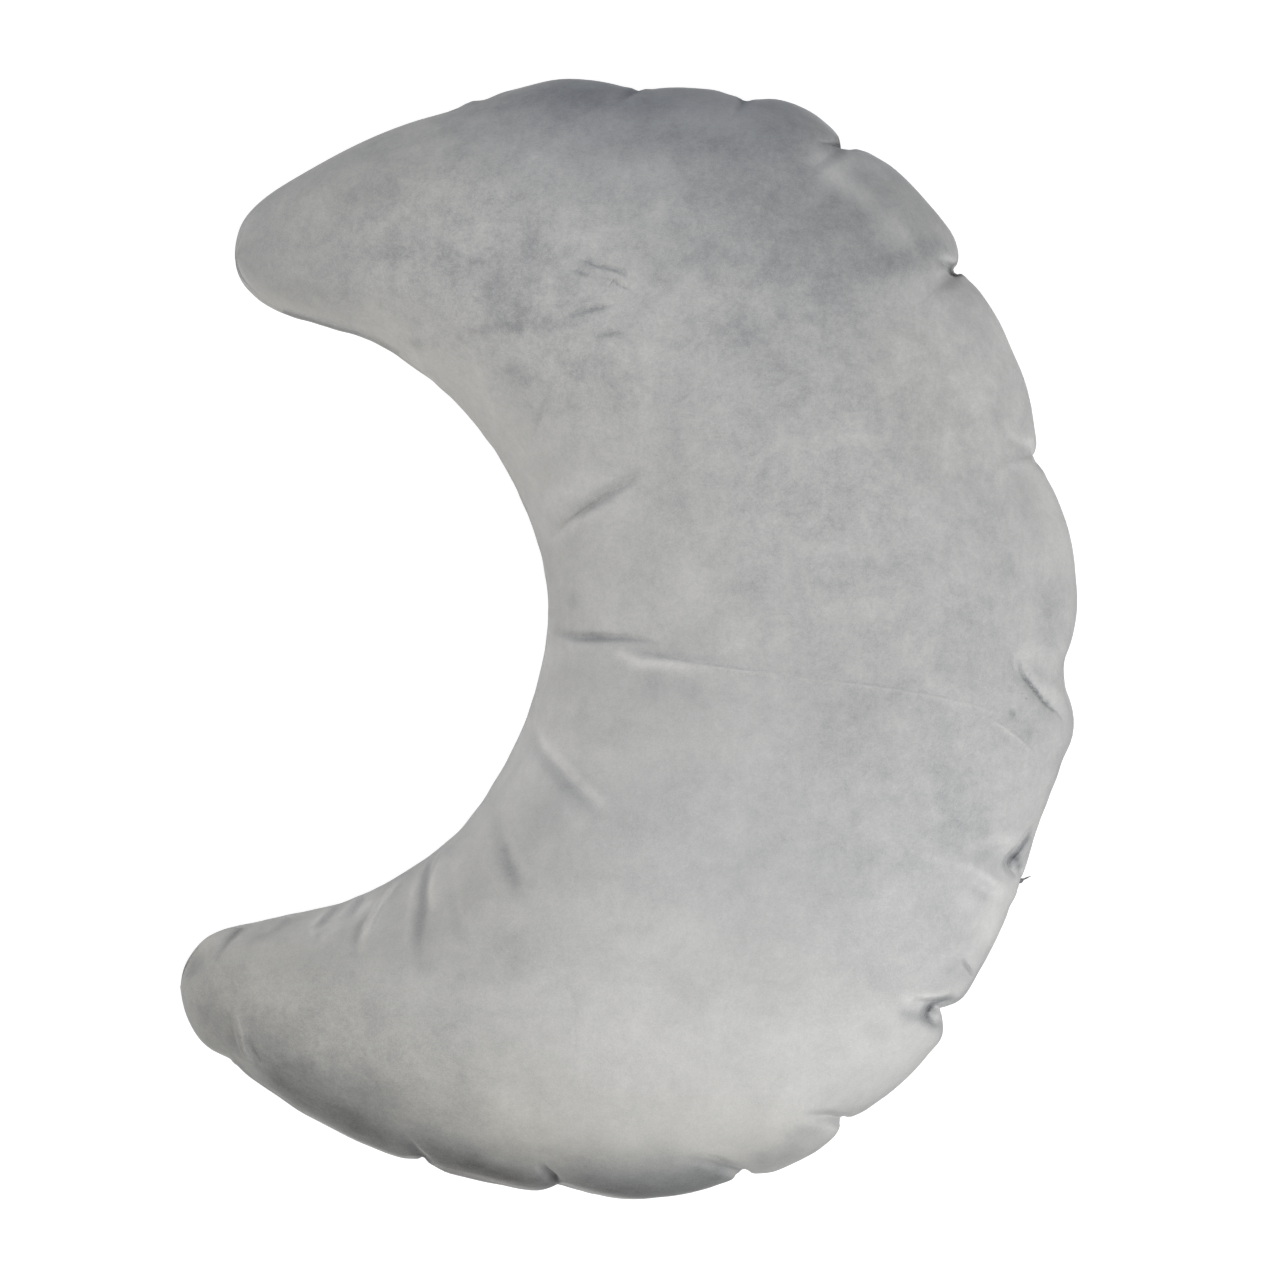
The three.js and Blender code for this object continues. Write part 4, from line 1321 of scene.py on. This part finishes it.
warmth = carried_by_points("warmth")
tint = add(tree, "ShaderNodeCombineXYZ")
for channel, share in WARM_TINT.items():
    warmer = arithmetic(tree, "MULTIPLY", warmth, share)
    link(tree, arithmetic(tree, "ADD", 1.0, warmer), tint, channel)
tinted = add(tree, "ShaderNodeVectorMath", operation="MULTIPLY")
link(tree, colour_ramp(tree, half_shade, VELVET_COLOURS), tinted, 0)
link(tree, (tint, "Vector"), tinted, 1)
link(tree, (tinted, "Vector"), cloth_shader, "Base Color")

preset(cloth_shader, {"Roughness": 0.92, "Specular IOR Level": 0.15})
preset(cloth_shader, {"Sheen Weight": 0.4, "Sheen Roughness": 0.35})
bump = add(tree, "ShaderNodeBump", {"Strength": 1.0, "Distance": MM})
fibres = arithmetic(tree, "MULTIPLY", (grain_node, "Grain"), FIBRE_HEIGHT)
relief = arithmetic(tree, "MULTIPLY", crease_depth, FINE_CREASE_RELIEF)
link(tree, arithmetic(tree, "SUBTRACT", fibres, relief), bump, "Height")
link(tree, (bump, "Normal"), cloth_shader, "Normal")
velvet_cover.data.materials.append(velvet)
print("velvet nodes:", len(tree.nodes))

# %% Thread material
THREAD_COLOURS = [(0.0, (0.06, 0.06, 0.065)), (1.0, (0.22, 0.22, 0.23))]

thread_grey, tree, thread_shader = surface("grey_thread")
grain_node = fibres_in(tree, {"Fibre size mm": 0.3})
link(tree, colour_ramp(tree, (grain_node, "Grain"), THREAD_COLOURS), thread_shader, "Base Color")
preset(thread_shader, {"Roughness": 0.7})
thread_end.data.materials.append(thread_grey)

# %% [markdown]
# ## Floor and light
# A white floor, and soft light. The main softbox stands high to the lower right, so the cloth is brightest
# there, and two low ones fill the bay and the horns from the left. The floor glows for the camera alone, so
# it looks white but throws no extra light up under the pillow.

# %% Floor
FLOOR_HALF = 4.0
FLOOR_DROP = 0.0005
FLOOR_GREY = 0.3
FLOOR_GLOW = 0.9
floor_mesh = bpy.data.meshes.new("floor")
corners = [(x * FLOOR_HALF, y * FLOOR_HALF, -FLOOR_DROP) for x, y in ((-1, -1), (1, -1), (1, 1), (-1, 1))]
floor_mesh.from_pydata(corners, [], [(0, 1, 2, 3)])
floor = bpy.data.objects.new("floor", floor_mesh)
bpy.context.scene.collection.objects.link(floor)
white_floor, tree, floor_shader = surface("white_floor")
preset(floor_shader, {"Base Color": (FLOOR_GREY, FLOOR_GREY, FLOOR_GREY, 1), "Emission Color": (1, 1, 1, 1)})
preset(floor_shader, {"Roughness": 1.0, "Specular IOR Level": 0.0})
seen = (add(tree, "ShaderNodeLightPath"), "Is Camera Ray")
link(tree, arithmetic(tree, "MULTIPLY", seen, FLOOR_GLOW), floor_shader, "Emission Strength")
floor_mesh.materials.append(white_floor)

# %% Softboxes
BOX_DISTANCE = 2.0
BOX_SIZE = 1.4
# name, direction round from +X in degrees, height over the floor in degrees, power in watts, colour
SOFTBOXES = [
    ("main", 315, 52, 36.5, (1.0, 1.0, 0.99)),
    ("right", 0, 30, 14.0, (0.99, 1.0, 1.01)),
    ("left", 180, 17, 25.0, (1.05, 1.01, 0.94)),
    ("upper_left", 130, 17, 15.0, (0.92, 0.98, 1.1)),
]
for name, azimuth, height, power, colour in SOFTBOXES:
    lamp_data = bpy.data.lights.new(name, "AREA")
    lamp_data.size = BOX_SIZE
    lamp_data.energy = power
    lamp_data.color = colour
    lamp = bpy.data.objects.new(name, lamp_data)
    around, up = math.radians(azimuth), math.radians(height)
    direction = (math.cos(up) * math.cos(around), math.cos(up) * math.sin(around), math.sin(up))
    lamp.location = [BOX_DISTANCE * part for part in direction]
    lamp.rotation_euler = (math.pi / 2 - up, 0, around + math.pi / 2)
    bpy.context.scene.collection.objects.link(lamp)

# %% Room
ROOM_LIGHT = 0.03
world = bpy.data.worlds.new("room")
world.use_nodes = True
room = world.node_tree
background = room.nodes["Background"]
preset(background, {"Color": (1, 1, 1, 1)})
seen = (add(room, "ShaderNodeLightPath"), "Is Camera Ray")
link(room, arithmetic(room, "MAXIMUM", seen, ROOM_LIGHT), background, "Strength")
bpy.context.scene.world = world
bpy.context.scene.view_settings.view_transform = "Standard"
